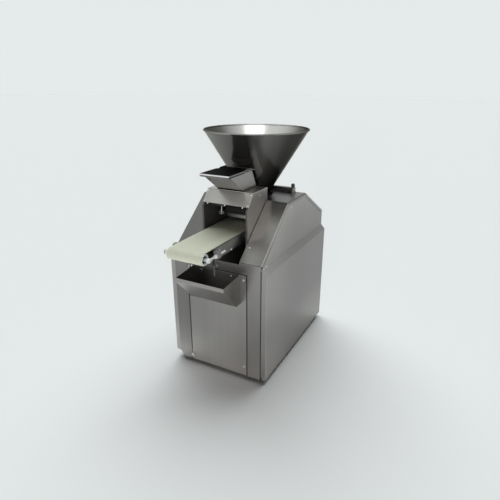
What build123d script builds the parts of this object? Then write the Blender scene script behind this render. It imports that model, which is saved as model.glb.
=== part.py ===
"""Piston dough divider as an assembly of separate pieces.

Millimetres, +Z up, the front faces -Y. Pieces are drawn with y measured back from the front panel and z
from the cabinet's underside. The export moves them all by one offset, so that the origin lies on the floor
below the middle of the machine.
"""
import os
from math import acos, atan2, cos, degrees, hypot, pi, sin

from build123d import *

# Fits
run_fit = 0.05          # radial clearance of a shaft or pin that turns or slides in a hole
slide_gap = 0.3         # gap between flat or curved faces that pass each other
panel_gap = 0.8         # gap between neighbouring casing sheets
seam = 3.0              # open seam between the front frame and the right side panel

# Main places from front to back
hopper_y = 514.0        # axis of the dough hopper
piston_before = 8.5     # face of the drawn-back piston before the hopper's axis
tail_length = 200.5     # piston's face to its tail pin
lever_before = 26.0     # lever's shaft before the piston's tail pin
crank_behind = 158.0    # crank's axis behind the lever's shaft
crank_in = 152.0        # crank's axis before the cabinet's back
piston_front = hopper_y - piston_before
tail_pin_y = piston_front + tail_length
lever_y = tail_pin_y - lever_before
crank_y = lever_y + crank_behind
cabinet_depth = crank_y + crank_in

# Casing
foot_height = 25.0      # floor to the cabinet's underside
panel_half = 330.0      # half width over the side panels
ledge_in = 28.0         # depth of the ledge
sheet = 2.0             # thickness of the casing sheets
panel_foot = 4.0        # the side panels' lower edge
edge_round = 10.0       # outer radius of the covers' folded edges
panel_drop = 12.0       # side panels' upper edge below the covers' outer face
ledge_low = 707.0       # the ledge's lower edge
ledge_rise = 31.0
corner_strip = 30.0     # width of the side panels' front and rear flanges
notch_width = 12.0      # slanted cut at the flanges' lower ends
notch_height = 25.0
slope_over = 26.0       # front ends of the sloped covers above the ledge
slope_climb = 284.0     # rise of the sloped covers
slope_run = 352.0       # how far back the sloped covers reach
top_behind = 126.0      # rear end of the top cover behind the hopper's axis
rear_drop = 198.0       # fall of the rear cover
flange = 22.0           # depth of the covers' outer flanges
inner_flange = 14.0     # depth of the sloped covers' flanges along the channel
channel_half = 157.0    # half width of the channel between the sloped covers
rail_drop = 14.0        # the front frame's edge in the channel below the sloped covers
cut_width = 27.0        # slanted lower left corner of the front frame
cut_height = 40.0
left_cut_height = 38.0  # the left panel's front corner is cut off below this height
left_cut_depth = 40.0
frame_return = 22.0     # depth of the front frame's folded edges
vent_length = 120.0
vent_height = 6.0
vent_pitch = 22.0
vent_rows = 8
vent_low = 560.0
vent_x = 120.0
upper_half = panel_half - ledge_in
ledge_high = ledge_low + ledge_rise
slope_foot = ledge_high + slope_over
top_height = slope_foot + slope_climb
rear_break = hopper_y + top_behind
rear_height = top_height - rear_drop
rail_height = slope_foot - rail_drop
front_half = panel_half - corner_strip - seam
front_left = panel_half - corner_strip - panel_gap
rear_in = cabinet_depth - 2 * sheet
cover_half = upper_half + slide_gap + sheet

# Base plate and feet
base_in = 40.0          # base plate's edge inside the side panels' outer faces
base_low = 2.0
base_thick = 10.0
foot_in = 40.0          # feet from the base plate's edge
front_foot_y = 70.0
rear_foot_in = 90.0     # rear feet before the cabinet's back
foot_radius = 28.0
foot_pad = 10.0
foot_chamfer = 4.0
stud_radius = 8.0
nut_radius = 14.0
nut_height = 10.0
upper_nut = 8.0
base_half = panel_half - base_in
base_top = base_low + base_thick
foot_x = base_half - foot_in
foot_ys = (front_foot_y, cabinet_depth - rear_foot_in)

# Door, hinges and locks
door_half = 203.0
door_foot = 2.0
door_drop = 61.5        # door's top below the rail's upper edge
door_gap = 3.0          # gap to the front frame on the right and above
hinge_gap = 4.0         # gap to the front frame on the hinge side
door_return = 16.0
hinge_inset = 14.0      # hinge axis inwards from the door's edge
hinge_out = 7.0         # hinge axis in front of the door
knuckle_radius = 5.0
knuckle_length = 15.5
hinge_pin_radius = 3.0
hinge_cap_radius = 4.2
leaf = 1.5
lower_hinge = 44.0
upper_hinge_drop = 16.0
lock_inset = 17.0
lower_lock_height = 64.0
upper_lock_drop = 30.5
lock_radius = 6.5
lock_head = 4.0
lock_shaft = 5.0
lock_arm = 30.0
lock_slot = 1.6
lock_arm_thick = 3.0
lock_clear = 1.0        # locking arm behind the front frame's folded edge
door_top = rail_height - door_drop
hinge_heights = (lower_hinge, door_top - upper_hinge_drop)
lock_heights = (lower_lock_height, door_top - upper_lock_drop)
hinge_x = -(door_half - hinge_inset)

# Catch tray
tray_in = 42.0          # tray's side inside the door's edge
tray_reach = 184.0
tray_drop = 2.5         # tray's rear wall below the door's top
tray_lip_drop = 12.0    # front lip below the rear wall's top
tray_lip = 24.0
tray_depth = 186.0
tray_floor_depth = 46.0
tray_sheet = 1.5
ear_width = 13.0
ear_rise = 15.0
tray_screw_in = 58.0
tray_screw_drop = 18.0
tray_half = door_half - tray_in
tray_rear_top = door_top - tray_drop
tray_lip_top = tray_rear_top - tray_lip_drop
tray_lip_low = tray_lip_top - tray_lip
tray_floor = tray_rear_top - tray_depth
ear_low = tray_floor + ear_rise
tray_screw_x = tray_half - tray_screw_in

# Side frames and head
frame_thick = 12.0
frame_side_gap = 2.5    # side frames to the channel's sides
frame_front = 105.0     # front edge of the cheeks
frame_front_low = 30.0  # front edge below the sloped covers
frame_break_in = 20.0   # frames' rear slope starts before the rear cover's bend
frame_back = 90.0       # frames' rear edge before the cabinet's back
frame_slope_gap = 15.9  # frames' rear corner below the rear cover
cheek_rise = 42.0       # cheeks' lower end above the front of the sloped covers
head_rise = 76.0        # head above the top cover
head_over = 7.0         # head's back behind the sloped covers
plate_low_y = 118.0
plate_low_rise = 8.0    # front plate's lower edge above the top cover
plate_high_y = 176.0
plate_thick = 3.0
head_sheet = 3.0
frame_half = channel_half - frame_side_gap
frame_in = frame_half - frame_thick
frame_break = rear_break - frame_break_in
frame_rear = cabinet_depth - frame_back
frame_rear_height = (top_height - frame_slope_gap
                     - rear_drop * (frame_rear - rear_break) / (cabinet_depth - rear_break))
cheek_foot = slope_foot + cheek_rise
head_top = top_height + head_rise
head_back = slope_run + head_over
plate_low = (plate_low_y, top_height + plate_low_rise)
plate_high = (plate_high_y, head_top)

# Flour hopper, lid and roller
flour_half_low = 86.0
flour_flare = 2.6
flour_front_in = 9.0    # hopper's foot behind the front plate
flour_back_in = 9.0     # hopper's foot before the head's back
flour_front_lean = 151.0
flour_back_lean = 62.0
flour_rise = 110.0
flour_sheet = 2.0
flour_lip = 24.0        # the front wall's turned-out lip
flour_flange = 7.0
lid_over = 6.0          # lid beyond the hopper's sides
lid_front_over = 27.0
lid_shoulder_gap = 8.0  # lid narrows this far before the ears
lid_rise = 16.0
lid_sheet = 2.0
lid_side_gap = 1.0
lid_pivot_in = 16.0
lid_pivot_drop = 5.0
lid_rod_radius = 3.0
lid_rod_left_over = 9.4
lid_rod_right_over = 25.4
ear_over = 4.0          # ears above the lid
ear_length = 98.0
ear_corner = 6.0
ear_root = 6.0          # ears' rear edge runs this far down the back wall
ear_slot_start = 30.0   # slanted slot in each ear
ear_slot_rise = 4.0
ear_slot_width = 4.0
ear_slot_run = 14.0
ear_slot_climb = 10.0
flour_roller_in = 77.0  # roller's axis behind the outlet's front
flour_roller_drop = 27.0
flour_roller_radius = 22.0
flour_roller_gap = 17.5 # roller's ends from the side frames
flour_journal = 8.0
flute_radius = 3.0
flute_count = 10
flour_half_top = flour_half_low + flour_flare
flour_front_low = plate_high_y + flour_front_in
flour_back_low = head_back - flour_back_in
flour_front_top = flour_front_low - flour_front_lean
flour_back_top = flour_back_low - flour_back_lean
flour_top = head_top + flour_rise
ear_front = flour_back_top - ear_length
lid_half = flour_half_top + lid_over
lid_front = flour_front_top - lid_front_over
lid_shoulder = ear_front - lid_shoulder_gap
lid_top = flour_top + lid_rise
lid_pivot_y = flour_back_top - lid_pivot_in
lid_pivot_z = lid_top - lid_pivot_drop
lid_rod_left = flour_half_top + lid_rod_left_over
lid_rod_right = flour_half_top + lid_rod_right_over
ear_top = lid_top + ear_over
flour_roller_y = flour_front_low + flour_roller_in
flour_roller_z = head_top - flour_roller_drop
flour_roller_half = frame_in - flour_roller_gap

# Dough hopper, seat, post and arm
rim_radius = 330.0
hopper_rise = 396.0     # rim above the seat
rim_roll = 5.0
neck_radius = 90.0
hopper_wall = 2.4
hopper_flange = 112.0
hopper_flange_thick = 6.0
seat_half = 92.0
seat_reach = 90.5       # half length of the seat
seat_rise = 5.0         # seat above the top cover
seat_mouth = 76.0
seat_step = 14.0
seat_round = 12.0
post_in = 87.0          # post inside the casing's upper side
post_back = 111.0       # post behind the hopper's axis
post_radius = 8.0
post_foot = 22.0
post_foot_thick = 7.0
post_shoulder = 14.0
arm_rise = 9.0          # arm above the seat
arm_thick = 17.0
arm_half = 12.0
arm_past = 10.0         # arm's inner end past the hopper's axis
weld_gap = 0.1          # arm's end from the hopper's wall
boss_radius = 17.0
knob_radius = 13.0
knob_foot = 11.0
seat_front = hopper_y - seat_reach
seat_back = hopper_y + seat_reach
seat_top = top_height + seat_rise
rim_height = seat_top + hopper_rise
post_x = upper_half - post_in
post_y = hopper_y + post_back
arm_low = seat_top + arm_rise

# Dough chamber, knife and main piston
chamber_drop = 30.0     # chamber's top below the top cover
drum_drop = 42.0        # drum's axis below the chamber's top
drum_before = 196.0     # drum's axis before the hopper's
drum_radius = 55.0
drum_half = 82.0
drum_gap = 0.4
trunnion = 15.0
chamber_over = 34.0     # chamber's back behind the hopper's axis
chamber_below = 50.0
bore_radius = 30.0
piston_length = 40.0
inlet_length = 70.0
inlet_half = 50.0
inlet_gap = 3.5         # inlet's rear edge in front of the piston's face
knife_half = 56.0
knife_depth = 10.0      # depth of the knife's groove
knife_over = 92.0       # knife's tail behind the chamber
knife_gap = 2.0         # drawn-back knife behind the inlet
knife_overlap = 5.0     # groove beyond the inlet
knife_bevel = 5.0
knife_hole = 6.0
knife_hole_in = 20.0
tail_radius = 11.0
tail_pin = 7.0
clevis_half = 16.0
clevis_rise = 14.0
clevis_reach = 36.0     # fork's front end before the pin
clevis_gap = 0.6        # fork plates beside the lever
clevis_slot = 24.0      # depth of the fork in front of the pin
chamber_high = top_height - chamber_drop
drum_z = chamber_high - drum_drop
drum_y = hopper_y - drum_before
chamber_back = hopper_y + chamber_over
chamber_low = drum_z - chamber_below
inlet_back = piston_front - inlet_gap
inlet_front = inlet_back - inlet_length
knife_back = chamber_back + knife_over

# Conveyor
belt_half = 109.0
belt_thick = 3.0
roller_radius = 30.0
roller_wall = 5.0
roller_in = 1.0         # drive roller's ends inside the belt's edges
roller_out = 4.0        # idler's ends outside the belt's edges
roller_recess = 12.0
belt_drop = 105.0       # rollers' axes below the drum's
drive_behind = 54.0     # drive roller behind the drum
conveyor_reach = 649.0  # distance of the rollers
axle_radius = 8.0
drive_journal = 10.0
drive_journal_end = 30.0 # journal's length inside the gearmotor
drive_hole = 14.0       # passage of the drive roller's journal in the left frame
conveyor_side = 9.0     # conveyor plates' outer faces beside the belt
conveyor_plate = 6.0
plate_behind_idler = 72.0
plate_behind_drive = 53.0
plate_below = 33.0      # conveyor plates below and above the rollers' axes
plate_above = 30.0
bed_thick = 3.0
bed_before_drive = 42.0
eye_out = 17.0          # the eye bolts' line beside the conveyor plates
eye_radius = 13.0
eye_half = 7.0
eye_rod = 6.0
eye_length = 160.0
eye_root = 2.0          # the rods run this far into the eyes
take_up_block = 30.0    # blocks that hold the eye bolts at the plates' front ends
take_up_over = 7.0      # how much higher the blocks reach above the eye bolts than below
take_up_nut = 12.0
take_up_nut_radius = 12.0
scraper_drop = 89.0     # scraper's foot below the conveyor plates
scraper_width = 9.0
scraper_length = 45.0
scraper_set_back = 5.5  # strut behind the conveyor plate's front end
scraper_knee = 44.0
scraper_tab = 9.0       # half height of the tab behind the right strut
scraper_tip = 20.0      # blade's edge in front of the strut
scraper_bolt_in = 14.0
scraper_bolt_drop = 35.0
front_mount_y = 150.0
mount_length = 30.0
mount_below = 21.0      # mounts below and above the rollers' axes
mount_above = 19.0
conveyor_z = drum_z - belt_drop
drive_y = drum_y + drive_behind
idler_y = drive_y - conveyor_reach
drive_half = belt_half - roller_in
idler_half = belt_half + roller_out
conveyor_half = belt_half + conveyor_side
plate_in = conveyor_half - conveyor_plate
conveyor_front = idler_y + plate_behind_idler
conveyor_back = drive_y + plate_behind_drive
conveyor_low = conveyor_z - plate_below
conveyor_high = conveyor_z + plate_above
bed_back = drive_y - bed_before_drive
eye_x = conveyor_half + eye_out
eye_rod_end = idler_y + eye_length
take_up_front = conveyor_front
scraper_foot = conveyor_low - scraper_drop
scraper_back = conveyor_front + scraper_length
scraper_bolt_y = scraper_back - scraper_bolt_in
mount_ys = (front_mount_y, conveyor_back - mount_length)
mount_low = conveyor_z - mount_below
mount_high = conveyor_z + mount_above
belt_in = roller_radius + slide_gap
belt_out = belt_in + belt_thick

# Measuring drum
pocket_radius = 28.0
pocket_bottom = 35.0    # pocket floor beyond the drum's axis
pocket_turn = -45.0     # half way between filling and emptying
measure_length = 20.0
measure_gap = 2.0       # drawn-back piston above the pocket's floor
drum_arm = 60.0
drum_arm_thick = 10.0
drum_arm_half = 12.0
drum_arm_hub = 24.0
drum_arm_eye = 14.4
drum_arm_gap = 1.0      # arm to the sloped cover's flange, and rod to arm
drum_pin = 8.0
drum_rod_length = 292.0
drum_rod_thick = 12.0
drum_rod_half = 10.0
drum_rod_eye = 16.0
arm_left = channel_half + sheet + drum_arm_gap
arm_right = arm_left + drum_arm_thick

# Weight setting
spindle_in = 36.5       # spindle's axis from the left frame
spindle_before = 68.0   # spindle's axis before the drum's
spindle_radius = 5.0
lug_half = 15.0
lug_rise = 64.0         # lug, stop and star knob from the drum's axis
lug_thick = 12.0
stop_rise = 28.0
star_drop = 21.0
star_radius = 14.0
star_lobes = 5
star_height = 14.0
star_hub = 30.0
star_hub_radius = 8.5
star_lobe = 5.3
spindle_over = 8.0      # spindle's end above the lug
collar_height = 6.0
collar_radius = 9.0
stop_height = 20.0
stop_half = 10.0
stop_over = 14.0        # stop's end beyond the spindle
spindle_x = -(frame_in - spindle_in)
spindle_y = drum_y - spindle_before
lug_low = drum_z + lug_rise
stop_low = drum_z + stop_rise
star_low = drum_z - star_drop

# Main lever, crank and drive
lever_z = 350.0
lever_shaft_radius = 15.0
lever_hub = 32.0
lever_hub_half = 20.0
lever_half = 8.0        # half thickness
lever_over = 18.5       # lever's end beyond the piston's pin
lever_width_low = 50.0
lever_width_high = 36.0
lever_slot = 8.5        # half width of the fork
lever_neck = 60.0       # the lever narrows up to this far below the pin
lever_slot_below = 4.0  # fork's floor below the pin
side_pin_rise = 250.0   # connecting rod's pin above the lever's shaft
side_pin_radius = 9.0
side_pin_over = 2.0     # side pin beyond the connecting rod
small_end = 18.0        # outer radius of the connecting rod's ends
big_end = 21.6
crank_radius = 26.0
crank_disc = 45.0
crank_thick = 12.0
crank_shaft = 16.0
crank_shaft_in = 57.0   # ends of the crank's shaft and bore from the right frame
crank_bore_in = 50.0
crank_face = -18.0      # x of the crank disc's left face
crank_pin_length = 3.5
rod_thick = 14.0        # connecting rod
rod_gap = 0.5           # connecting rod beside the crank's pin
big_end_gap = 0.5
gearbox_gap = 18.0      # gearbox beside the crank's disc
gearbox_before = 48.0   # gearbox before and behind its shafts
gearbox_behind = 57.0
gearbox_cover = 60.0    # gearbox above the crank's shaft and below the input shaft
gearbox_round = 14.0
input_drop = 270.5      # input shaft below the crank's shaft
input_shaft = 14.0
input_shaft_in = 82.5   # ends of the input shaft and its bore from the right frame's inner face
input_bore_in = 85.5
shaft_hole = 20.0       # passage of the drive shafts in the right frame
pulley_gap = 21.5       # pulleys beside the right frame
pulley_width = 20.0
pulley_flange = 3.0
pulley_rise = 5.0
small_pulley = 40.0
large_pulley_radius = 130.0
pulley_holes = 6
pulley_hole_ring = 75.4
pulley_hole_radius = 28.6
vee_thick = 6.0
motor_y = 250.0
motor_radius = 75.0
motor_gap = 42.5        # motor's end from the right frame
motor_length = 220.0
motor_foot = 10.0       # gap from the base plate to the motor's shell
motor_shaft = 12.0
motor_shaft_in = 40.0   # depth of the pulley's shaft and its bore in the motor
motor_bore = 50.0
motor_foot_half = 60.0
motor_foot_end = 36.0   # motor's foot from the left end
motor_foot_length = 154.0
motor_foot_top = 30.0   # foot's upper edge below the motor's axis
gearmotor_half = 30.0
gearmotor_width = 51.0
gearmotor_drop = 140.0
gearmotor_tube = 24.6
gearmotor_bore = 36.0   # depth of the bore for the drive roller's journal
gearmotor_round = 6.0
terminal_half = 40.0    # terminal box on the motor
terminal_rise = 35.0
shaft_over = 4.0        # shaft ends beyond the pulleys
lever_reach = hypot(lever_before, drum_z - lever_z)
lever_lean = atan2(lever_before, drum_z - lever_z)
lever_length = lever_reach + lever_over
side_pin_z = lever_z + side_pin_rise
side_pin_y = lever_y + side_pin_rise * lever_before / (drum_z - lever_z)
rod_right = crank_face - crank_pin_length - rod_gap
rod_left = rod_right - rod_thick
crank_shaft_end = frame_in - crank_shaft_in
crank_bore_end = frame_in - crank_bore_in
gearbox_left = crank_face + crank_thick + gearbox_gap
gearbox_front = crank_y - gearbox_before
gearbox_back = crank_y + gearbox_behind
input_z = side_pin_z - input_drop
gearbox_low = input_z - gearbox_cover
gearbox_high = side_pin_z + gearbox_cover
input_shaft_end = frame_in - input_shaft_in
input_bore_end = frame_in - input_bore_in
pulley_left = frame_half + pulley_gap
pulley_right = pulley_left + pulley_width
motor_z = base_top + motor_foot + motor_radius
motor_right = frame_in - motor_gap
motor_left = motor_right - motor_length
motor_shaft_end = motor_right - motor_shaft_in
motor_bore_end = motor_right - motor_bore
motor_foot_left = motor_left + motor_foot_end
motor_foot_right = motor_foot_left + motor_foot_length

# Screws and cable gland
screw_radius = 5.5
screw_rise = 3.0
screw_dome = 1.8        # rounding of the screw heads
screw_edge = 10.0       # screws from a sheet's edge
ledge_screw_rise = 7.0
slope_screw_in = 24.0
slope_screw_y = 81.0
ledge_screw_ys = (21.0, 56.0)
top_screw = 38.0        # panel screws behind the bends of the casing's upper edge
rear_screw_drop = 31.0  # screws of the rear cover's flanges below the top
rear_screw_low = 30.0
rear_screw_mid = 420.0
rear_screw_high = 35.0  # upper screws of the rear panel below the rear cover's edge
hanging_stud = 12.0     # studs below the front plate
hanging_stud_x = 118.0
gland_in = 130.0        # cable gland inside the left panel
gland_z = 140.0
gland_radius = 13.0
gland_length = 30.0
gland_neck = 8.0
gland_nut = 8.0
gland_hex = 15.0
gland_cap = 9.7
gland_bore = 4.8
rear_screw_zs = (rear_screw_low, rear_screw_mid, rear_height - rear_screw_high)
gland_x = -(panel_half - gland_in)

# Place of the machine in the row's frame
front_reach = idler_y - belt_out
rear_reach = cabinet_depth - sheet + gland_length
offset = Pos(0, -(front_reach + rear_reach) / 2, foot_height)


def block(x0, x1, y0, y1, z0, z1):
    """Box between the given faces."""
    return Pos((x0 + x1) / 2, (y0 + y1) / 2, (z0 + z1) / 2) * Box(x1 - x0, y1 - y0, z1 - z0)


def rod_x(x0, x1, y, z, r):
    """Round bar along X."""
    return Pos((x0 + x1) / 2, y, z) * Rot(0, 90, 0) * Cylinder(r, x1 - x0)


def rod_y(y0, y1, x, z, r):
    """Round bar along Y."""
    return Pos(x, (y0 + y1) / 2, z) * Rot(90, 0, 0) * Cylinder(r, y1 - y0)


def rod_z(z0, z1, x, y, r):
    """Round bar along Z."""
    return Pos(x, y, (z0 + z1) / 2) * Cylinder(r, z1 - z0)


def side_plate(points, x0, x1):
    """Plate with an outline of (y, z) points between two x faces."""
    return extrude(Plane.YZ.offset(x0) * Polygon(*points, align=None), amount=x1 - x0, dir=(1, 0, 0))


def face_plate(points, y0, y1):
    """Plate with an outline of (x, z) points between two y faces."""
    return extrude(Plane.XZ.offset(-y0) * Polygon(*points, align=None), amount=y1 - y0, dir=(0, 1, 0))


def flat_plate(points, z0, z1):
    """Plate with an outline of (x, y) points between two z faces."""
    return extrude(Plane.XY.offset(z0) * Polygon(*points, align=None), amount=z1 - z0, dir=(0, 0, 1))


def bent(line, t):
    """Outline of bent sheet: the line and its copy t to the left, mitred at each bend."""
    dirs = []
    for (a, b), (c, d) in zip(line, line[1:]):
        length = hypot(c - a, d - b)
        dirs.append(((c - a) / length, (d - b) / length))
    inner = []
    for i, (a, b) in enumerate(line):
        u = dirs[max(i - 1, 0)]
        v = dirs[min(i, len(dirs) - 1)]
        k = t / (1 + u[0] * v[0] + u[1] * v[1])
        inner.append((a - k * (u[1] + v[1]), b + k * (u[0] + v[0])))
    return line + inner[::-1]


def both(shape):
    """A shape and its mirror image on the other side of the machine."""
    return shape + mirror(shape, about=Plane.YZ)


def together(shapes):
    """Several bodies in one node."""
    return Compound([solid for shape in shapes for solid in shape.solids()])


def screw_head(at, normal):
    """Rounded screw head standing on a face."""
    head = Pos(0, 0, screw_rise / 2) * Cylinder(screw_radius, screw_rise)
    head = fillet(head.edges().sort_by(Axis.Z)[-1], screw_dome)
    return Plane(origin=at, z_dir=normal) * head


def hexagon(across, height):
    """Hexagon standing on z = 0, with its corners at the given radius."""
    return extrude(RegularPolygon(across, 6), amount=height, dir=(0, 0, 1))


def slope_at(y):
    """Height of the sloped covers' outer face."""
    return slope_foot + (top_height - slope_foot) * y / slope_run


def cone_at(z):
    """Outer radius of the dough hopper."""
    foot = seat_top + slide_gap
    return neck_radius + (rim_radius - neck_radius) * (z - foot) / (rim_height - foot)


def base_plate():
    plate = block(-base_half, base_half, sheet + frame_return, rear_in, base_low, base_top)
    for x in (-foot_x, foot_x):
        for y in foot_ys:
            plate -= rod_z(base_low, base_top, x, y, stud_radius + slide_gap)
    return plate


def levelling_feet():
    feet = []
    for x in (-foot_x, foot_x):
        for y in foot_ys:
            foot = rod_z(-foot_height, foot_pad - foot_height, x, y, foot_radius)
            foot = chamfer(foot.edges().sort_by(Axis.Z)[-1], foot_chamfer)
            foot += rod_z(foot_pad - foot_height, base_top + nut_height, x, y, stud_radius)
            foot += Pos(x, y, base_low - nut_height) * hexagon(nut_radius, nut_height)
            foot += Pos(x, y, base_top) * hexagon(nut_radius, upper_nut)
            feet.append(foot)
    return together(feet)


def right_side_frame():
    slant = (plate_high[0] - plate_low[0]) / (plate_high[1] - plate_low[1])
    length = hypot(plate_high[0] - plate_low[0], plate_high[1] - plate_low[1])
    back = plate_thick * (plate_high[1] - plate_low[1]) / length
    down = plate_thick * (plate_high[0] - plate_low[0]) / length
    low_y = plate_low[0] + back
    low_z = plate_low[1] - down
    frame = side_plate([
        (frame_front_low, base_top), (frame_front_low, cheek_foot - (frame_front - frame_front_low)),
        (frame_front, cheek_foot), (frame_front, low_z - (low_y - frame_front) / slant),
        (low_y + slant * (head_top - low_z), head_top), (head_back, head_top),
        (head_back, top_height - sheet), (frame_break, top_height - sheet),
        (frame_rear, frame_rear_height), (frame_rear, base_top)], frame_in, frame_half)
    for y, z, r in ((drum_y, drum_z, trunnion), (flour_roller_y, flour_roller_z, flour_journal),
                    (lever_y, lever_z, lever_shaft_radius)):
        frame -= rod_x(frame_in, frame_half, y, z, r + run_fit)
    return frame


def drive_holes(frame):
    """Passages of the motor shaft and the gearbox's input shaft."""
    for y, z in ((motor_y, motor_z), (crank_y, input_z)):
        frame -= rod_x(frame_in, frame_half, y, z, shaft_hole)
    return frame


def left_side_frame():
    """Left frame with the lug of the weight spindle and the passage of the conveyor drive."""
    frame = mirror(right_side_frame(), about=Plane.YZ)
    frame += block(-frame_in, spindle_x + lug_half, spindle_y - lug_half, spindle_y + lug_half,
                   lug_low, lug_low + lug_thick)
    frame -= rod_z(lug_low, lug_low + lug_thick, spindle_x, spindle_y, spindle_radius + run_fit)
    return frame - rod_x(-frame_half, -frame_in, drive_y, conveyor_z, drive_hole)


def front_frame():
    """Sheet portal round the door, with folded edges at the opening."""
    inner = door_half + door_gap
    opening = door_top + door_gap
    high = slope_foot - sheet - panel_gap
    frame = face_plate([
        (-front_left, cut_height), (-front_left, high), (-channel_half, high), (-channel_half, rail_height),
        (channel_half, rail_height), (channel_half, high), (front_half, high), (front_half, 0), (inner, 0),
        (inner, opening), (-inner, opening), (-inner, 0), (cut_width - front_left, 0)], 0, sheet)
    depth = sheet + frame_return
    frame += both(block(inner, inner + sheet, 0, depth, 0, opening + sheet))
    frame += block(-inner - sheet, inner + sheet, 0, depth, opening, opening + sheet)
    return frame


def front_door():
    left = hinge_gap - door_gap - door_half
    depth = sheet + door_return
    door = block(left, door_half, 0, depth, door_foot, door_top)
    door -= block(left + sheet, door_half - sheet, sheet, depth, door_foot + sheet, door_top - sheet)
    for z in lock_heights:
        door -= rod_y(0, sheet, door_half - lock_inset, z, lock_shaft + run_fit)
    return door


def knuckle(z0, z1):
    """One barrel of a door hinge with its pin hole."""
    barrel = rod_z(z0, z1, hinge_x, -hinge_out, knuckle_radius)
    return barrel, rod_z(z0, z1, hinge_x, -hinge_out, hinge_pin_radius + run_fit)


def door_hinges():
    """The frame's halves of both hinges, with their pins."""
    bodies = []
    edge = -(door_half + door_gap)
    for z in hinge_heights:
        low = z - knuckle_length
        barrel, hole = knuckle(low, z - slide_gap)
        half = barrel + block(edge, hinge_x, -hinge_out - leaf / 2, leaf / 2 - hinge_out, low, z - slide_gap)
        half += block(edge, edge + leaf, -hinge_out - leaf / 2, sheet + door_return, low, z - slide_gap)
        bodies.append(half - hole)
        pin = rod_z(low, z + knuckle_length, hinge_x, -hinge_out, hinge_pin_radius)
        cap = rod_z(low - sheet, low, hinge_x, -hinge_out, hinge_cap_radius)
        bodies.append(pin + cap)
    return together(bodies)


def door_fittings():
    """The door's hinge leaves and the screws of the tray."""
    bodies = []
    for z in hinge_heights:
        barrel, hole = knuckle(z + slide_gap, z + knuckle_length)
        plate = block(hinge_x, hinge_x + hinge_inset, -sheet, 0, z + slide_gap, z + knuckle_length)
        bodies.append(barrel + plate - hole)
    face = -tray_sheet
    for x in (-tray_screw_x, tray_screw_x):
        bodies.append(screw_head((x, face, tray_rear_top - tray_screw_drop), (0, -1, 0)))
    return together(bodies)


def catch_tray():
    """Folded trough on the door, open above, with an ear at each side."""
    wall = [(0, 2 * tray_rear_top), (0, tray_floor), (-tray_floor_depth, tray_floor),
            (-tray_reach, tray_lip_low), (-tray_reach, 2 * tray_rear_top)]
    outer = [(0, tray_rear_top)] + wall[1:4] + [(-tray_reach, tray_lip_top)]
    hollow = bent(wall, -tray_sheet)[len(wall):]
    inside = tray_half - tray_sheet
    tray = side_plate(outer, -tray_half, tray_half) - side_plate(hollow, -inside, inside)
    return tray + both(block(inside, tray_half + ear_width, -tray_sheet, 0, ear_low, tray_rear_top))


def turn_lock(z):
    """Slotted turn lock with its locking arm behind the door."""
    x = door_half - lock_inset
    reach = sheet + frame_return + lock_clear
    back = reach + lock_arm_thick
    lock = rod_y(-lock_head, 0, x, z, lock_radius) + rod_y(0, back, x, z, lock_shaft)
    lock += block(x - lock_shaft, x + lock_shaft, reach, back, z - lock_arm, z + lock_shaft)
    return lock - block(x - lock_slot / 2, x + lock_slot / 2, -lock_head, lock_slot - lock_head,
                        z - lock_radius, z + lock_radius)


def right_side_panel():
    skin = face_plate(bent([(panel_half, panel_foot), (panel_half, ledge_low), (upper_half, ledge_high),
                            (upper_half, top_height)], sheet), 0, cabinet_depth)
    slant = hypot(slope_run, top_height - slope_foot) / slope_run
    drop = panel_drop * slant
    skin = skin & side_plate([(0, 0), (0, slope_foot - drop), (slope_run, top_height - drop),
                              (rear_break, top_height - drop), (cabinet_depth, rear_height - drop),
                              (cabinet_depth, 0)], 0, 2 * panel_half)
    inner = panel_half - corner_strip
    strip = [(inner, panel_foot + notch_height), (inner + notch_width, panel_foot), (panel_half, panel_foot),
             (panel_half, ledge_low), (upper_half, ledge_high), (inner, ledge_high)]
    skin += face_plate(strip, 0, sheet)
    return skin + face_plate(strip, cabinet_depth - sheet, cabinet_depth)


def left_side_panel():
    """Mirror image of the right panel with its lower front corner cut off."""
    panel = mirror(right_side_panel(), about=Plane.YZ)
    return panel - block(-panel_half, 0, 0, left_cut_depth, 0, left_cut_height)


def rear_panel():
    half = front_half + panel_gap / 2
    panel = block(-half, half, rear_in, rear_in + sheet, panel_foot, rear_height - 2 * sheet)
    for i in range(vent_rows):
        z = vent_low + i * vent_pitch
        panel -= both(block(vent_x - vent_length / 2, vent_x + vent_length / 2, rear_in, rear_in + sheet,
                            z, z + vent_height))
    return panel - rod_y(rear_in, rear_in + sheet, gland_x, gland_z, gland_neck + run_fit)


def cover_over(line, x0, x1, y0, y1):
    """Sheet cover along a (y, z) line, x0 to x1, with a flange folded at x1 and square ends at y0 and y1."""
    shape = side_plate(bent(line, -sheet), x0, x1)
    shape += side_plate(bent(line, -flange), x1 - sheet, x1)
    along = Vector(0, line[1][0] - line[0][0], line[1][1] - line[0][1]).normalized()
    inside = (x1 - sheet, line[0][0] + sheet * along.Z, line[0][1] - sheet * along.Y)
    for corner, radius in ((inside, edge_round - sheet), ((x1, *line[0]), edge_round)):
        folds = shape.edges().filter_by(Axis((0, 0, 0), along))
        shape = fillet(folds.sort_by_distance(corner)[0], radius)
    return shape & block(x0, x1, y0, y1, 0, 2 * top_height)


def right_slope_cover():
    back = slope_run - panel_gap
    line = [(0, slope_foot), (slope_run, top_height)]
    cover = cover_over(line, channel_half, cover_half, 0, back)
    inner = side_plate(bent(line, -inner_flange), channel_half, channel_half + sheet)
    return cover + (inner & block(0, cover_half, 0, back, 0, 2 * top_height))


def left_slope_cover():
    return mirror(right_slope_cover(), about=Plane.YZ)


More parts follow.
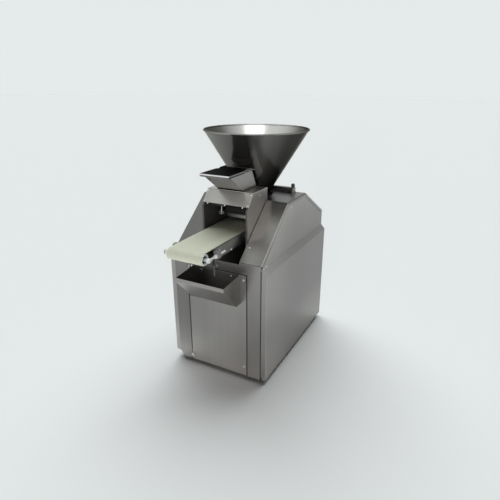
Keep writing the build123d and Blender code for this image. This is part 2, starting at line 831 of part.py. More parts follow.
def top_cover():
    line = [(slope_run, top_height), (rear_break, top_height)]
    cover = both(cover_over(line, 0, cover_half, slope_run, rear_break))
    cover -= block(-channel_half, channel_half, slope_run, head_back + head_sheet + panel_gap,
                   top_height - sheet, top_height)
    return cover - block(-seat_half - panel_gap, seat_half + panel_gap, seat_front - panel_gap,
                         seat_back + panel_gap, top_height - sheet, top_height)


def rear_cover():
    line = [(rear_break, top_height), (cabinet_depth, rear_height)]
    return both(cover_over(line, 0, cover_half, rear_break + panel_gap, cabinet_depth))


def head_cover():
    """Bent sheet over the head's top and back, with the flour outlet."""
    front = plate_high[0] + sheet
    cover = side_plate(bent([(front, head_top + head_sheet), (head_back + head_sheet, head_top + head_sheet),
                             (head_back + head_sheet, top_height + panel_gap)], -head_sheet),
                       -frame_half, frame_half)
    t = flour_sheet
    return cover - block(t - flour_half_low, flour_half_low - t, flour_front_low + t, flour_back_low - t,
                         head_top, head_top + head_sheet)


def front_plate():
    return side_plate(bent([plate_low, plate_high], -plate_thick), -frame_half, frame_half)


def cover_screws():
    """Screws of the front plate, the sloped covers, the side panels and the rear panel."""
    heads = []
    ly, lz = plate_low
    hy, hz = plate_high
    length = hypot(hy - ly, hz - lz)
    normal = (0, -(hz - lz) / length, (hy - ly) / length)
    down = (0, -(hy - ly) / length, -(hz - lz) / length)
    for x in (screw_edge - frame_half, frame_half - screw_edge):
        for share in (screw_edge / length, 1 - screw_edge / length):
            heads.append(screw_head((x, ly + (hy - ly) * share, lz + (hz - lz) * share), normal))
    for x in (-hanging_stud_x, 0, hanging_stud_x):
        stud = Pos(0, plate_thick / 2, hanging_stud / 2) * Cylinder(plate_thick / 2, hanging_stud)
        heads.append(Plane(origin=(x, ly, lz), x_dir=(1, 0, 0), z_dir=down) * stud)
    run = hypot(slope_run, top_height - slope_foot)
    up = (0, -(top_height - slope_foot) / run, slope_run / run)
    for sign in (-1, 1):
        at = (sign * (channel_half + slope_screw_in), slope_screw_y, slope_at(slope_screw_y))
        heads.append(screw_head(at, up))
        for y in ledge_screw_ys:
            heads.append(screw_head((sign * upper_half, y, ledge_high + ledge_screw_rise), (sign, 0, 0)))
        top_z = top_height - flange - screw_edge
        heads.append(screw_head((sign * upper_half, slope_run + top_screw, top_z), (sign, 0, 0)))
        heads.append(screw_head((sign * cover_half, rear_break + top_screw, top_height - rear_screw_drop),
                                (sign, 0, 0)))
        for z in rear_screw_zs:
            heads.append(screw_head((sign * (front_half - 2 * screw_edge), rear_in + sheet, z), (0, 1, 0)))
    return together(heads)


def frustum(shrink):
    """Slanting box of the flour hopper, made smaller on all sides by the given amount."""
    low = Rectangle(2 * (flour_half_low - shrink), flour_back_low - flour_front_low - 2 * shrink)
    high = Rectangle(2 * (flour_half_top - shrink), flour_back_top - flour_front_top - 2 * shrink)
    base = head_top + head_sheet
    low = Pos(0, (flour_front_low + flour_back_low) / 2, base) * low
    high = Pos(0, (flour_front_top + flour_back_top) / 2, flour_top) * high
    return loft([low.face(), high.face()], ruled=True)


def flour_hopper():
    """Slanting box with a base flange, a front lip and two hinge ears."""
    base = head_top + head_sheet
    hopper = frustum(0)
    half = flour_half_low + flour_flange
    hopper += block(-half, half, flour_front_low - flour_flange, flour_back_low + flour_flange,
                    base, base + flour_sheet)
    hopper += block(-flour_half_top, flour_half_top, flour_front_top - flour_lip, flour_front_top + flour_lip,
                    flour_top - flour_sheet, flour_top)
    inside = flour_half_top - flour_sheet
    ear = side_plate([(ear_front, flour_top - flour_lip), (ear_front, flour_top),
                      (ear_front + flour_lip, ear_top), (flour_back_top - ear_corner, ear_top),
                      (flour_back_top, ear_top - ear_corner), (flour_back_top, flour_top - ear_root)],
                     inside, flour_half_top)
    ear -= rod_x(inside, flour_half_top, lid_pivot_y, lid_pivot_z, lid_rod_radius + run_fit)
    y = ear_front + ear_slot_start
    z = flour_top + ear_slot_rise
    ear -= side_plate([(y, z), (y + ear_slot_width, z),
                       (y + ear_slot_width + ear_slot_run, z + ear_slot_climb),
                       (y + ear_slot_run, z + ear_slot_climb)], inside, flour_half_top)
    hopper -= frustum(flour_sheet)
    hopper += both(ear - frustum(flour_sheet))
    return hopper


def lid_hinge_rod():
    return rod_x(-lid_rod_left, lid_rod_right, lid_pivot_y, lid_pivot_z, lid_rod_radius)


def flour_lid():
    narrow = flour_half_top - flour_sheet - lid_side_gap
    low = lid_top - lid_sheet
    lid = flat_plate([(-lid_half, lid_front), (lid_half, lid_front), (lid_half, lid_shoulder),
                      (narrow, lid_shoulder), (narrow, lid_pivot_y), (-narrow, lid_pivot_y),
                      (-narrow, lid_shoulder), (-lid_half, lid_shoulder)], low, lid_top)
    lip = flour_top + slide_gap
    lid += block(-lid_half, lid_half, lid_front, lid_front + lid_sheet, lip, lid_top)
    lid += both(block(lid_half - lid_sheet, lid_half, lid_front, lid_shoulder, lip, lid_top))
    lid += rod_x(-narrow, narrow, lid_pivot_y, lid_pivot_z, lid_top - lid_pivot_z)
    return lid - rod_x(-narrow, narrow, lid_pivot_y, lid_pivot_z, lid_rod_radius + run_fit)


def flour_roller():
    roller = rod_x(-flour_roller_half, flour_roller_half, flour_roller_y, flour_roller_z, flour_roller_radius)
    for i in range(flute_count):
        a = 2 * pi * i / flute_count
        roller -= rod_x(-flour_roller_half, flour_roller_half, flour_roller_y + flour_roller_radius * cos(a),
                        flour_roller_z + flour_roller_radius * sin(a), flute_radius)
    return roller + rod_x(-frame_half, frame_half, flour_roller_y, flour_roller_z, flour_journal)


def hopper_seat():
    seat = block(-seat_half, seat_half, seat_front, seat_back, chamber_high, seat_top)
    seat = fillet(seat.edges().filter_by(Axis.Z), seat_round)
    seat -= rod_z(chamber_high + seat_step, seat_top, 0, hopper_y, seat_mouth)
    return seat - block(-inlet_half, inlet_half, inlet_front, inlet_back,
                        chamber_high, chamber_high + seat_step)


def dough_hopper():
    foot = seat_top + slide_gap
    high = foot + hopper_flange_thick
    profile = [(neck_radius - hopper_wall, foot), (hopper_flange, foot), (hopper_flange, high),
               (cone_at(high), high), (rim_radius, rim_height), (rim_radius - hopper_wall, rim_height)]
    cone = revolve(Plane.XZ * Polygon(*profile, align=None), Axis.Z)
    cone += Pos(0, 0, rim_height) * Torus(rim_radius - hopper_wall / 2, rim_roll)
    return Pos(0, hopper_y, 0) * cone


def hopper_post():
    post = rod_z(top_height, top_height + post_foot_thick, post_x, post_y, post_foot)
    post += rod_z(top_height, arm_low - slide_gap, post_x, post_y, post_shoulder)
    return post + rod_z(top_height, arm_low + arm_thick + knob_radius, post_x, post_y, post_radius)


def hopper_arm():
    arm = block(-arm_past, post_x, post_y - arm_half, post_y + arm_half, arm_low, arm_low + arm_thick)
    arm += rod_z(arm_low, arm_low + arm_thick, post_x, post_y, boss_radius)
    arm -= rod_z(arm_low, arm_low + arm_thick, post_x, post_y, post_radius + run_fit)
    foot = seat_top + slide_gap
    cone = Cone(neck_radius + weld_gap, rim_radius + weld_gap, rim_height - foot)
    cone = Pos(0, hopper_y, (foot + rim_height) / 2) * cone
    return arm - cone


def clamp_knob():
    low = arm_low + arm_thick + slide_gap
    ball = Pos(post_x, post_y, low + knob_radius) * Sphere(knob_radius)
    ball += rod_z(low, low + knob_radius, post_x, post_y, knob_foot)
    high = low + knob_radius
    return ball - rod_z(low, high, post_x, post_y, post_radius + run_fit)


def conveyor_right_plate():
    plate = block(plate_in, conveyor_half, conveyor_front, conveyor_back, conveyor_low, conveyor_high)
    mid = conveyor_z - take_up_block / 2
    plate += block(conveyor_half, eye_x + eye_radius, take_up_front, take_up_front + take_up_block,
                   mid, mid + take_up_block + take_up_over)
    plate -= rod_y(take_up_front, take_up_front + take_up_block, eye_x, conveyor_z, eye_rod + run_fit)
    return plate - rod_x(plate_in, conveyor_half, drive_y, conveyor_z, drive_journal + run_fit)


def conveyor_left_plate():
    return mirror(conveyor_right_plate(), about=Plane.YZ)


def conveyor_bed():
    top = conveyor_z + belt_in - slide_gap
    return block(-plate_in, plate_in, conveyor_front, bed_back, top - bed_thick, top)


def long_loop(radius):
    """Rounded bar round both conveyor rollers."""
    loop = block(-belt_half, belt_half, idler_y, drive_y, conveyor_z - radius, conveyor_z + radius)
    for y in (idler_y, drive_y):
        loop += rod_x(-belt_half, belt_half, y, conveyor_z, radius)
    return loop


def conveyor_belt():
    return long_loop(belt_out) - long_loop(belt_in)


def conveyor_mounts():
    mounts = []
    for y in mount_ys:
        mounts.append(both(block(conveyor_half, frame_in, y, y + mount_length, mount_low, mount_high)))
    return together(mounts)


def belt_scraper():
    """Blade close below the belt, between a short left strut and a long right one with a bolted tab."""
    front = conveyor_front + scraper_set_back
    blade_y = front + scraper_width
    knee = scraper_foot + scraper_knee
    tip_z = conveyor_z - belt_out - slide_gap
    blade = side_plate(bent([(blade_y, knee), (front - scraper_tip, tip_z)], sheet), -plate_in, plate_in)
    long = block(plate_in, conveyor_half, front, blade_y, scraper_foot, conveyor_low)
    short = block(-conveyor_half, -plate_in, front, blade_y, knee, conveyor_low)
    bolt_z = conveyor_low - scraper_bolt_drop
    tab = block(plate_in, conveyor_half, front, scraper_back, bolt_z - scraper_tab, bolt_z + scraper_tab)
    bolt = screw_head((conveyor_half, scraper_bolt_y, bolt_z), (1, 0, 0))
    return long + tab + bolt + short + blade


def take_up_nuts():
    seat = Plane(origin=(eye_x, take_up_front, conveyor_z), z_dir=(0, -1, 0))
    nut = seat * hexagon(take_up_nut_radius, take_up_nut)
    nut -= rod_y(take_up_front - take_up_nut, take_up_front, eye_x, conveyor_z, eye_rod + run_fit)
    return both(nut)


def idler_shaft():
    return rod_x(-eye_x - eye_half, eye_x + eye_half, idler_y, conveyor_z, axle_radius)


def eye_bolts():
    eye = rod_x(eye_x - eye_half, eye_x + eye_half, idler_y, conveyor_z, eye_radius)
    eye += rod_y(idler_y + eye_radius - eye_root, eye_rod_end, eye_x, conveyor_z, eye_rod)
    return both(eye - rod_x(eye_x - eye_half, eye_x + eye_half, idler_y, conveyor_z, axle_radius + run_fit))


def roller_tube(y, half):
    """Roller tube with sunk end discs."""
    tube = rod_x(-half, half, y, conveyor_z, roller_radius)
    hollow = half - roller_recess - roller_wall
    tube -= rod_x(-hollow, hollow, y, conveyor_z, roller_radius - roller_wall)
    return tube - both(rod_x(half - roller_recess, half, y, conveyor_z, roller_radius - roller_wall))


def idler_roller():
    tube = roller_tube(idler_y, idler_half)
    return tube - rod_x(-idler_half, idler_half, idler_y, conveyor_z, axle_radius + run_fit)


def drive_roller():
    return roller_tube(drive_y, drive_half) + rod_x(-frame_half - drive_journal_end, conveyor_half, drive_y,
                                                    conveyor_z, drive_journal)


def conveyor_gearmotor():
    left = -frame_half - gearmotor_width
    r = gearmotor_half
    case = block(left, -frame_half, drive_y - r, drive_y + r, conveyor_z - r, conveyor_z + r)
    case = fillet(case.edges().filter_by(Axis.X), gearmotor_round)
    case += rod_z(conveyor_z - r - gearmotor_drop, conveyor_z, left + gearmotor_width / 2, drive_y,
                  gearmotor_tube)
    return case - rod_x(-frame_half - gearmotor_bore, -frame_half, drive_y, conveyor_z,
                        drive_journal + run_fit)


def chamber_block():
    """Block with the drum's hollow seat, the piston's bore, the inlet and the knife's groove."""
    front = drum_y + drum_radius
    block_body = block(-frame_in, frame_in, front, chamber_back, chamber_low, chamber_high)
    block_body += block(-drum_half, drum_half, drum_y, front, chamber_low, chamber_high)
    block_body -= rod_x(-frame_in, frame_in, drum_y, drum_z, drum_radius + drum_gap)
    block_body -= rod_y(drum_y, chamber_back, 0, drum_z, bore_radius + run_fit)
    groove = chamber_high - knife_depth
    block_body -= block(-inlet_half, inlet_half, inlet_front, inlet_back, drum_z, groove)
    return block_body - block(-knife_half - slide_gap, knife_half + slide_gap,
                              inlet_front - knife_overlap, chamber_back, groove, chamber_high)


def knife():
    low = chamber_high - knife_depth + slide_gap
    high = chamber_high - slide_gap
    front = inlet_back + knife_gap
    blade = block(-knife_half, knife_half, front, knife_back, low, high)
    blade = chamfer(blade.faces().sort_by(Axis.Y)[0].edges().sort_by(Axis.Z)[-1], knife_bevel)
    return blade - rod_z(low, high, 0, knife_back - knife_hole_in, knife_hole)


def main_piston():
    rear = piston_front + piston_length
    piston = rod_y(piston_front, rear, 0, drum_z, bore_radius)
    front = tail_pin_y - clevis_reach
    piston += rod_y(rear, front, 0, drum_z, tail_radius)
    piston += block(-clevis_half, clevis_half, front, tail_pin_y + clevis_half,
                    drum_z - clevis_rise, drum_z + clevis_rise)
    gap = lever_half + clevis_gap
    piston -= block(-gap, gap, tail_pin_y - clevis_slot, tail_pin_y + clevis_half,
                    drum_z - clevis_rise, drum_z + clevis_rise)
    return piston + rod_x(-clevis_half, clevis_half, tail_pin_y, drum_z, tail_pin)


def main_lever():
    """Lever drawn upright on its pivot, then leaned back to meet the piston's pin."""
    high = lever_width_high / 2
    neck = lever_reach - lever_neck
    low = lever_width_low / 2
    lever = side_plate([(-low, 0), (low, 0), (high, neck), (high, lever_length), (-high, lever_length),
                        (-high, neck)], -lever_half, lever_half)
    lever += rod_x(-lever_hub_half, lever_hub_half, 0, 0, lever_hub)
    lever -= block(-lever_half, lever_half, -lever_slot, lever_slot,
                   lever_reach - tail_pin - lever_slot_below, lever_length)
    lever -= rod_x(-lever_hub_half, lever_hub_half, 0, 0, lever_shaft_radius + run_fit)
    lever = Pos(0, lever_y, lever_z) * Rot(-degrees(lever_lean), 0, 0) * lever
    return lever + rod_x(rod_left - side_pin_over, -lever_half, side_pin_y, side_pin_z, side_pin_radius)


def lever_shaft():
    return rod_x(-frame_half, frame_half, lever_y, lever_z, lever_shaft_radius)


def connecting_rod():
    big_y = crank_y + crank_radius
    rod = block(rod_left, rod_right, side_pin_y, big_y, side_pin_z - side_pin_radius,
                side_pin_z + side_pin_radius)
    rod += rod_x(rod_left, rod_right, side_pin_y, side_pin_z, small_end)
    rod += rod_x(rod_left, rod_right, big_y, side_pin_z, big_end)
    rod -= rod_x(rod_left, rod_right, side_pin_y, side_pin_z, side_pin_radius + run_fit)
    return rod - rod_x(rod_left, rod_right, big_y, side_pin_z, side_pin_radius + big_end_gap)


def crank():
    disc = rod_x(crank_face, crank_face + crank_thick, crank_y, side_pin_z, crank_disc)
    disc += rod_x(crank_face + crank_thick, crank_shaft_end, crank_y, side_pin_z, crank_shaft)
    return disc + rod_x(crank_face - crank_pin_length, crank_face, crank_y + crank_radius, side_pin_z,
                        side_pin_radius)


def gearbox():
    case = block(gearbox_left, frame_in, gearbox_front, gearbox_back, gearbox_low, gearbox_high)
    case = fillet(case.edges().filter_by(Axis.X), gearbox_round)
    case -= rod_x(gearbox_left, crank_bore_end, crank_y, side_pin_z, crank_shaft + run_fit)
    return case - rod_x(input_bore_end, frame_in, crank_y, input_z, input_shaft + run_fit)


def pulley(y, z, radius):
    """Flanged pulley in the plane of the belt."""
    wheel = rod_x(pulley_left, pulley_right, y, z, radius)
    wheel += rod_x(pulley_left, pulley_left + pulley_flange, y, z, radius + pulley_rise)
    return wheel + rod_x(pulley_right - pulley_flange, pulley_right, y, z, radius + pulley_rise)


def motor_pulley():
    wheel = pulley(motor_y, motor_z, small_pulley)
    return wheel + rod_x(motor_shaft_end, pulley_right + shaft_over, motor_y, motor_z, motor_shaft)


def large_pulley():
    wheel = pulley(crank_y, input_z, large_pulley_radius)
    for i in range(pulley_holes):
        a = 2 * pi * i / pulley_holes
        wheel -= rod_x(pulley_left, pulley_right, crank_y + pulley_hole_ring * cos(a),
                       input_z + pulley_hole_ring * sin(a), pulley_hole_radius)
    return wheel + rod_x(input_shaft_end, pulley_right + shaft_over, crank_y, input_z, input_shaft)


def belt_body(grow, x0, x1):
    """Solid outline round both pulleys."""
    r0 = small_pulley + grow
    r1 = large_pulley_radius + grow
    along = atan2(input_z - motor_z, crank_y - motor_y)
    open_angle = acos((r0 - r1) / hypot(crank_y - motor_y, input_z - motor_z))
    points = []
    for y, z, r, sign in ((motor_y, motor_z, r0, 1), (crank_y, input_z, r1, 1),
                          (crank_y, input_z, r1, -1), (motor_y, motor_z, r0, -1)):
        a = along + sign * open_angle
        points.append((y + r * cos(a), z + r * sin(a)))
    body = side_plate(points, x0, x1)
    return body + rod_x(x0, x1, motor_y, motor_z, r0) + rod_x(x0, x1, crank_y, input_z, r1)


def v_belt():
    x0 = pulley_left + pulley_flange + slide_gap
    x1 = pulley_right - pulley_flange - slide_gap
    return belt_body(slide_gap + vee_thick, x0, x1) - belt_body(slide_gap, x0, x1)


def motor():
    case = rod_x(motor_left, motor_right, motor_y, motor_z, motor_radius)
    case += block(motor_foot_left, motor_foot_right, motor_y - motor_foot_half, motor_y + motor_foot_half,
                  base_top, motor_z - motor_foot_top)
    case += block(-terminal_half, terminal_half, motor_y - terminal_half, motor_y + terminal_half,
                  motor_z, motor_z + motor_radius + terminal_rise)
    return case - rod_x(motor_bore_end, motor_right, motor_y, motor_z, motor_shaft + run_fit)


def measuring_drum():
    drum = rod_x(-drum_half, drum_half, 0, 0, drum_radius)
    drum -= rod_y(-pocket_bottom, drum_radius, 0, 0, pocket_radius)
    drum = Pos(0, drum_y, drum_z) * Rot(pocket_turn, 0, 0) * drum
    drum += rod_x(-frame_half, -drum_half, drum_y, drum_z, trunnion)
    drum += rod_x(drum_half, arm_right, drum_y, drum_z, trunnion)
    low = drum_z - drum_arm
    drum += rod_x(arm_left, arm_right, drum_y, drum_z, drum_arm_hub)
    drum += block(arm_left, arm_right, drum_y - drum_arm_half, drum_y + drum_arm_half, low, drum_z)
    drum += rod_x(arm_left, arm_right, drum_y, low, drum_arm_eye)
    return drum + rod_x(arm_right, arm_right + drum_arm_gap + drum_rod_thick, drum_y, low, drum_pin)


def measuring_piston():
    start = measure_gap - pocket_bottom
    piston = rod_y(start, start + measure_length, 0, 0, pocket_radius - run_fit)
    return Pos(0, drum_y, drum_z) * Rot(pocket_turn, 0, 0) * piston


def drum_rod():
    left = arm_right + drum_arm_gap
    right = left + drum_rod_thick
    high = drum_z - drum_arm
    low = high - drum_rod_length
    rod = block(left, right, drum_y - drum_rod_half, drum_y + drum_rod_half, low, high)
    rod += rod_x(left, right, drum_y, high, drum_rod_eye)
    rod += rod_x(left, right, drum_y, low, drum_rod_eye)
    rod -= rod_x(left, right, drum_y, high, drum_pin + run_fit)
    return rod - rod_x(left, right, drum_y, low, drum_pin + run_fit)


def weight_spindle():
    """Spindle with a star knob below and a collar above the lug."""
    top = lug_low + lug_thick + slide_gap
    spindle = rod_z(star_low, top + spindle_over, spindle_x, spindle_y, spindle_radius)
    spindle += rod_z(top, top + collar_height, spindle_x, spindle_y, collar_radius)
    spindle += rod_z(star_low, star_low + star_height, spindle_x, spindle_y, star_radius)
    for i in range(star_lobes):
        a = 2 * pi * i / star_lobes
        spindle += rod_z(star_low, star_low + star_height, spindle_x + star_radius * cos(a),
                         spindle_y + star_radius * sin(a), star_lobe)
    return spindle + rod_z(star_low, star_low + star_hub, spindle_x, spindle_y, star_hub_radius)


def weight_stop():
    stop = block(slide_gap - frame_in, spindle_x + stop_over, spindle_y - stop_half,
                 spindle_y + stop_half, stop_low, stop_low + stop_height)
    return stop - rod_z(stop_low, stop_low + stop_height, spindle_x, spindle_y, spindle_radius + run_fit)


def cable_gland():
    face = rear_in + sheet
    gland = rod_y(rear_in - gland_nut, face, gland_x, gland_z, gland_neck)
    gland += Plane(origin=(gland_x, rear_in, gland_z), z_dir=(0, -1, 0)) * hexagon(gland_radius, gland_nut)
    gland += Plane(origin=(gland_x, face, gland_z), z_dir=(0, 1, 0)) * hexagon(gland_radius, gland_hex)
    gland += rod_y(face, face + gland_length, gland_x, gland_z, gland_cap)
    return gland - rod_y(rear_in - gland_nut, face + gland_length, gland_x, gland_z, gland_bore)


nodes = {
    "base_plate": base_plate(),
    "levelling_feet": levelling_feet(),
    "left_side_frame": left_side_frame(),
    "right_side_frame": drive_holes(right_side_frame()),
    "front_frame": front_frame(),
    "left_side_panel": left_side_panel(),
    "right_side_panel": right_side_panel(),
    "rear_panel": rear_panel(),
    "rear_cover": rear_cover(),
    "top_cover": top_cover(),
    "left_slope_cover": left_slope_cover(),
    "right_slope_cover": right_slope_cover(),
    "head_cover": head_cover(),
    "front_plate": front_plate(),
    "cover_screws": cover_screws(),
    "front_door": front_door(),
    "door_hinges": door_hinges(),
    "door_fittings": door_fittings(),
    "catch_tray": catch_tray(),
    "lower_lock": turn_lock(lock_heights[0]),
    "upper_lock": turn_lock(lock_heights[1]),
    "flour_hopper": flour_hopper(),
    "lid_hinge_rod": lid_hinge_rod(),
    "flour_lid": flour_lid(),
    "flour_roller": flour_roller(),
    "hopper_seat": hopper_seat(),
    "dough_hopper": dough_hopper(),
    "hopper_post": hopper_post(),
    "hopper_arm": hopper_arm(),
    "clamp_knob": clamp_knob(),
    "conveyor_left_plate": conveyor_left_plate(),
    "conveyor_right_plate": conveyor_right_plate(),
    "conveyor_bed": conveyor_bed(),
    "conveyor_belt": conveyor_belt(),
    "conveyor_mounts": conveyor_mounts(),
    "belt_scraper": belt_scraper(),
    "take_up_nuts": take_up_nuts(),
    "idler_shaft": idler_shaft(),
    "eye_bolts": eye_bolts(),
    "idler_roller": idler_roller(),
    "drive_roller": drive_roller(),
    "conveyor_gearmotor": conveyor_gearmotor(),
    "chamber_block": chamber_block(),
    "knife": knife(),
    "main_piston": main_piston(),
    "main_lever": main_lever(),
    "lever_shaft": lever_shaft(),
    "connecting_rod": connecting_rod(),
    "crank": crank(),
    "gearbox": gearbox(),
    "motor": motor(),
    "motor_pulley": motor_pulley(),
    "large_pulley": large_pulley(),
    "v_belt": v_belt(),
    "measuring_drum": measuring_drum(),
    "measuring_piston": measuring_piston(),
    "drum_rod": drum_rod(),
    "weight_spindle": weight_spindle(),
    "weight_stop": weight_stop(),
    "cable_gland": cable_gland(),
}

os.makedirs("parts", exist_ok=True)
for name, shape in nodes.items():
    export_step(offset * shape, f"parts/{name}.step")
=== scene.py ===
# %% [markdown]
# # A piston dough divider in stainless steel
#
# A bakery machine: dough goes into the cone on top, a piston presses it into a drum, and weighed pieces
# leave on the belt. The shapes come from the imported CAD model, so this lesson is mostly about finishes:
# satin sheet, polished steel, belting, iron and paint. A few small pieces that CAD leaves plain, or leaves
# out, are modelled here by hand.
#
# The frame is loaded first.

# %% Load the frame
from math import atan2, cos, pi, radians, sin

import bmesh
import bpy
from mathutils import Matrix, Vector


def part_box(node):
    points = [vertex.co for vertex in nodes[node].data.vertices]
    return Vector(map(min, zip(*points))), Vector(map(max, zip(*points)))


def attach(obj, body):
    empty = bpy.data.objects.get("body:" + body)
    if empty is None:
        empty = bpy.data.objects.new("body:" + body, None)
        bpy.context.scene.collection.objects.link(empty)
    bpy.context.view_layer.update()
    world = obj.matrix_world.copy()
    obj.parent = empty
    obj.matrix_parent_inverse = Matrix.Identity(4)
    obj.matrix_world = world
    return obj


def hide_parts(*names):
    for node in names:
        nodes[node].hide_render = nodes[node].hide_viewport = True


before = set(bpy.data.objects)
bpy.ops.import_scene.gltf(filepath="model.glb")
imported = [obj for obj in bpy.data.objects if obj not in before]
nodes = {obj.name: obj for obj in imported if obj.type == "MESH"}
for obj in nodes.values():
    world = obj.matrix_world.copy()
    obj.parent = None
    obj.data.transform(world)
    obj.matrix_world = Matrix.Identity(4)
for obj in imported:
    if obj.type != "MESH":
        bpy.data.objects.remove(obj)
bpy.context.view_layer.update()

# %% [markdown]
# ## Writing shaders as sums
#
# A material is a graph of nodes, and wiring it by hand hides the idea. This class wraps one output socket
# and overloads the arithmetic signs, so `1 - mask * 0.3` adds its Math nodes by itself. Every other node
# comes from the one method `node`, which takes the type, the settings and the values or wires of the
# inputs. The helpers after it name what the finishes need again and again.

# %% A wire class for shader maths
class Wire:
    """One output socket of a node tree."""

    def __init__(self, tree, socket=None):
        self.tree = tree
        self.socket = socket

    def node(self, kind, settings=None, inputs=None, out=0):
        """Adds a node and returns one of its outputs."""
        made = self.tree.nodes.new(kind)
        for key, value in (settings or {}).items():
            if key == "stops":
                while len(made.color_ramp.elements) < len(value):
                    made.color_ramp.elements.new(0.5)
                for element, (place, colour) in zip(made.color_ramp.elements, value):
                    element.position = place
                    element.color = colour
            else:
                setattr(made, key, value)
        for key, value in (inputs or {}).items():
            if isinstance(value, Wire):
                self.tree.links.new(value.socket, made.inputs[key])
            else:
                made.inputs[key].default_value = value
        return Wire(self.tree, made.outputs[out])

    def maths(self, operation, a, b=0.0):
        return self.node("ShaderNodeMath", {"operation": operation}, {0: a, 1: b})

    def __add__(self, other):
        return self.maths("ADD", self, other)

    def __sub__(self, other):
        return self.maths("SUBTRACT", self, other)

    def __rsub__(self, other):
        return self.maths("SUBTRACT", other, self)

    def __mul__(self, other):
        return self.maths("MULTIPLY", self, other)

    def __truediv__(self, other):
        return self.maths("DIVIDE", self, other)

    def __gt__(self, other):
        return self.maths("GREATER_THAN", self, other)

    def __lt__(self, other):
        return self.maths("LESS_THAN", self, other)

    def __abs__(self):
        return self.maths("ABSOLUTE", self)

    __radd__ = __add__
    __rmul__ = __mul__


print("wire class ready")

# %% Materials, places and noise
def new_finish(name, metallic=0.0, **fixed):
    """A material with a Principled shader; fixed values go straight on its sockets."""
    material = bpy.data.materials.new(name)
    material.use_nodes = True
    shader = material.node_tree.nodes["Principled BSDF"]
    shader.inputs["Metallic"].default_value = metallic
    for key, value in fixed.items():
        shader.inputs[key.replace("_", " ")].default_value = value
    return material, Wire(material.node_tree), shader


def plug(wire, shader, socket):
    wire.tree.links.new(wire.socket, shader.inputs[socket])


def places(wire):
    """Object coordinates: metres in the machine's own frame."""
    return wire.node("ShaderNodeTexCoord", out="Object")


def normals(wire):
    return wire.node("ShaderNodeTexCoord", out="Normal")


def axes(point):
    """The x, y and z of a place or a normal."""
    split = point.node("ShaderNodeSeparateXYZ", None, {0: point})
    return [Wire(split.tree, output) for output in split.socket.node.outputs]


def distance(a, b):
    """How far a point is from an axis, by its two distances across it."""
    return a.maths("SQRT", a * a + b * b)


def soft_noise(wire, point, size, detail=2.0, turn=(0, 0, 0)):
    """Noise whose blotches have the given size in metres along each axis, after a turn."""
    scaled = wire.node("ShaderNodeMapping", {"vector_type": "TEXTURE"},
                       {"Vector": point, "Rotation": turn, "Scale": size})
    return wire.node("ShaderNodeTexNoise", None, {"Vector": scaled, "Scale": 1.0, "Detail": detail})


def rounded_edges(wire, radius):
    return wire.node("ShaderNodeBevel", {"samples": 6}, {"Radius": radius})


def bump(wire, height, strength, depth, normal=None):
    """Small relief of a given depth in metres."""
    inputs = {"Strength": strength, "Distance": depth, "Height": height}
    if normal is not None:
        inputs["Normal"] = normal
    return wire.node("ShaderNodeBump", None, inputs)


print("materials, places and noise ready")

# %% Colours
def tint(wire, factor, low, high):
    """Colour between two others, each a wire or three numbers."""
    low, high = (end if isinstance(end, Wire) else (*end, 1) for end in (low, high))
    # Inputs 6 and 7 and output 2 are the Mix node's colours; its other sockets mix numbers and vectors.
    return wire.node("ShaderNodeMix", {"data_type": "RGBA"}, {0: factor, 6: low, 7: high}, out=2)


def cloudy(wire, factor, colour, least, most):
    """One colour that goes from darker to lighter."""
    return tint(wire, factor, [part * least for part in colour], [part * most for part in colour])


def shaded(wire, colour, factor):
    """A colour made lighter or darker."""
    return wire.node("ShaderNodeVectorMath", {"operation": "SCALE"}, {0: colour, "Scale": factor})


def curve(wire, value, stops):
    """A factor that follows (value, factor) stops, straight between them."""
    first, last = stops[0][0], stops[-1][0]
    most = max(factor for _, factor in stops)
    tones = [((place - first) / (last - first), (factor / most,) * 3 + (1,)) for place, factor in stops]
    return wire.node("ShaderNodeValToRGB", {"stops": tones}, {0: (value - first) / (last - first)}) * most


def along_axes(wire, point, colour, curves):
    """A colour that follows a curve along each axis that has one."""
    along = dict(zip("xyz", axes(point)))
    for axis, stops in curves.items():
        colour = shaded(wire, colour, curve(wire, along[axis], stops))
    return colour


print("colour helpers ready")

# %% [markdown]
# ## Satin stainless sheet
#
# The casing is sheet with a fine brushed grain, which runs up the walls and up the slopes. The grain could
# be an image, but stretched noise does the same at any scale: thin across the grain and long along it. It
# feeds the bump and a little of the roughness. A second, broad noise gives the soft clouds of handling. The
# Bevel node rounds the folded edges in shading, so that they catch a thin line of light. Satin steel also
# mirrors its room in broad, soft gradients, and this plain studio has little to mirror. So the gradients are
# painted: most sheets take curves that lighten or darken them along an axis, as painted reflections and
# painted shade, and that stay on them whichever side they are seen from. The tone of each sheet is also set
# lighter or darker for the light it gets.

# %% Satin sheet
GRAIN, BANDS, CLOUDS = (0.0012, 0.0012, 0.16), (0.030, 0.030, 1.6), (0.22, 0.22, 0.30)
MARK_DEPTH = 0.0002
TRAY_HALF, TRAY_MIDDLE = 0.1605, (0, -0.40, 0.66)


def tray_inside(wire, point):
    """One on the faces of the catch tray that look into it, zero on the others."""
    way = wire.node("ShaderNodeVectorMath", {"operation": "SUBTRACT"}, {0: point, 1: TRAY_MIDDLE})
    outward = wire.node("ShaderNodeVectorMath", {"operation": "DOT_PRODUCT"}, {0: way, 1: normals(wire)},
                        out="Value")
    return (outward < 0) * (abs(axes(point)[0]) < TRAY_HALF)


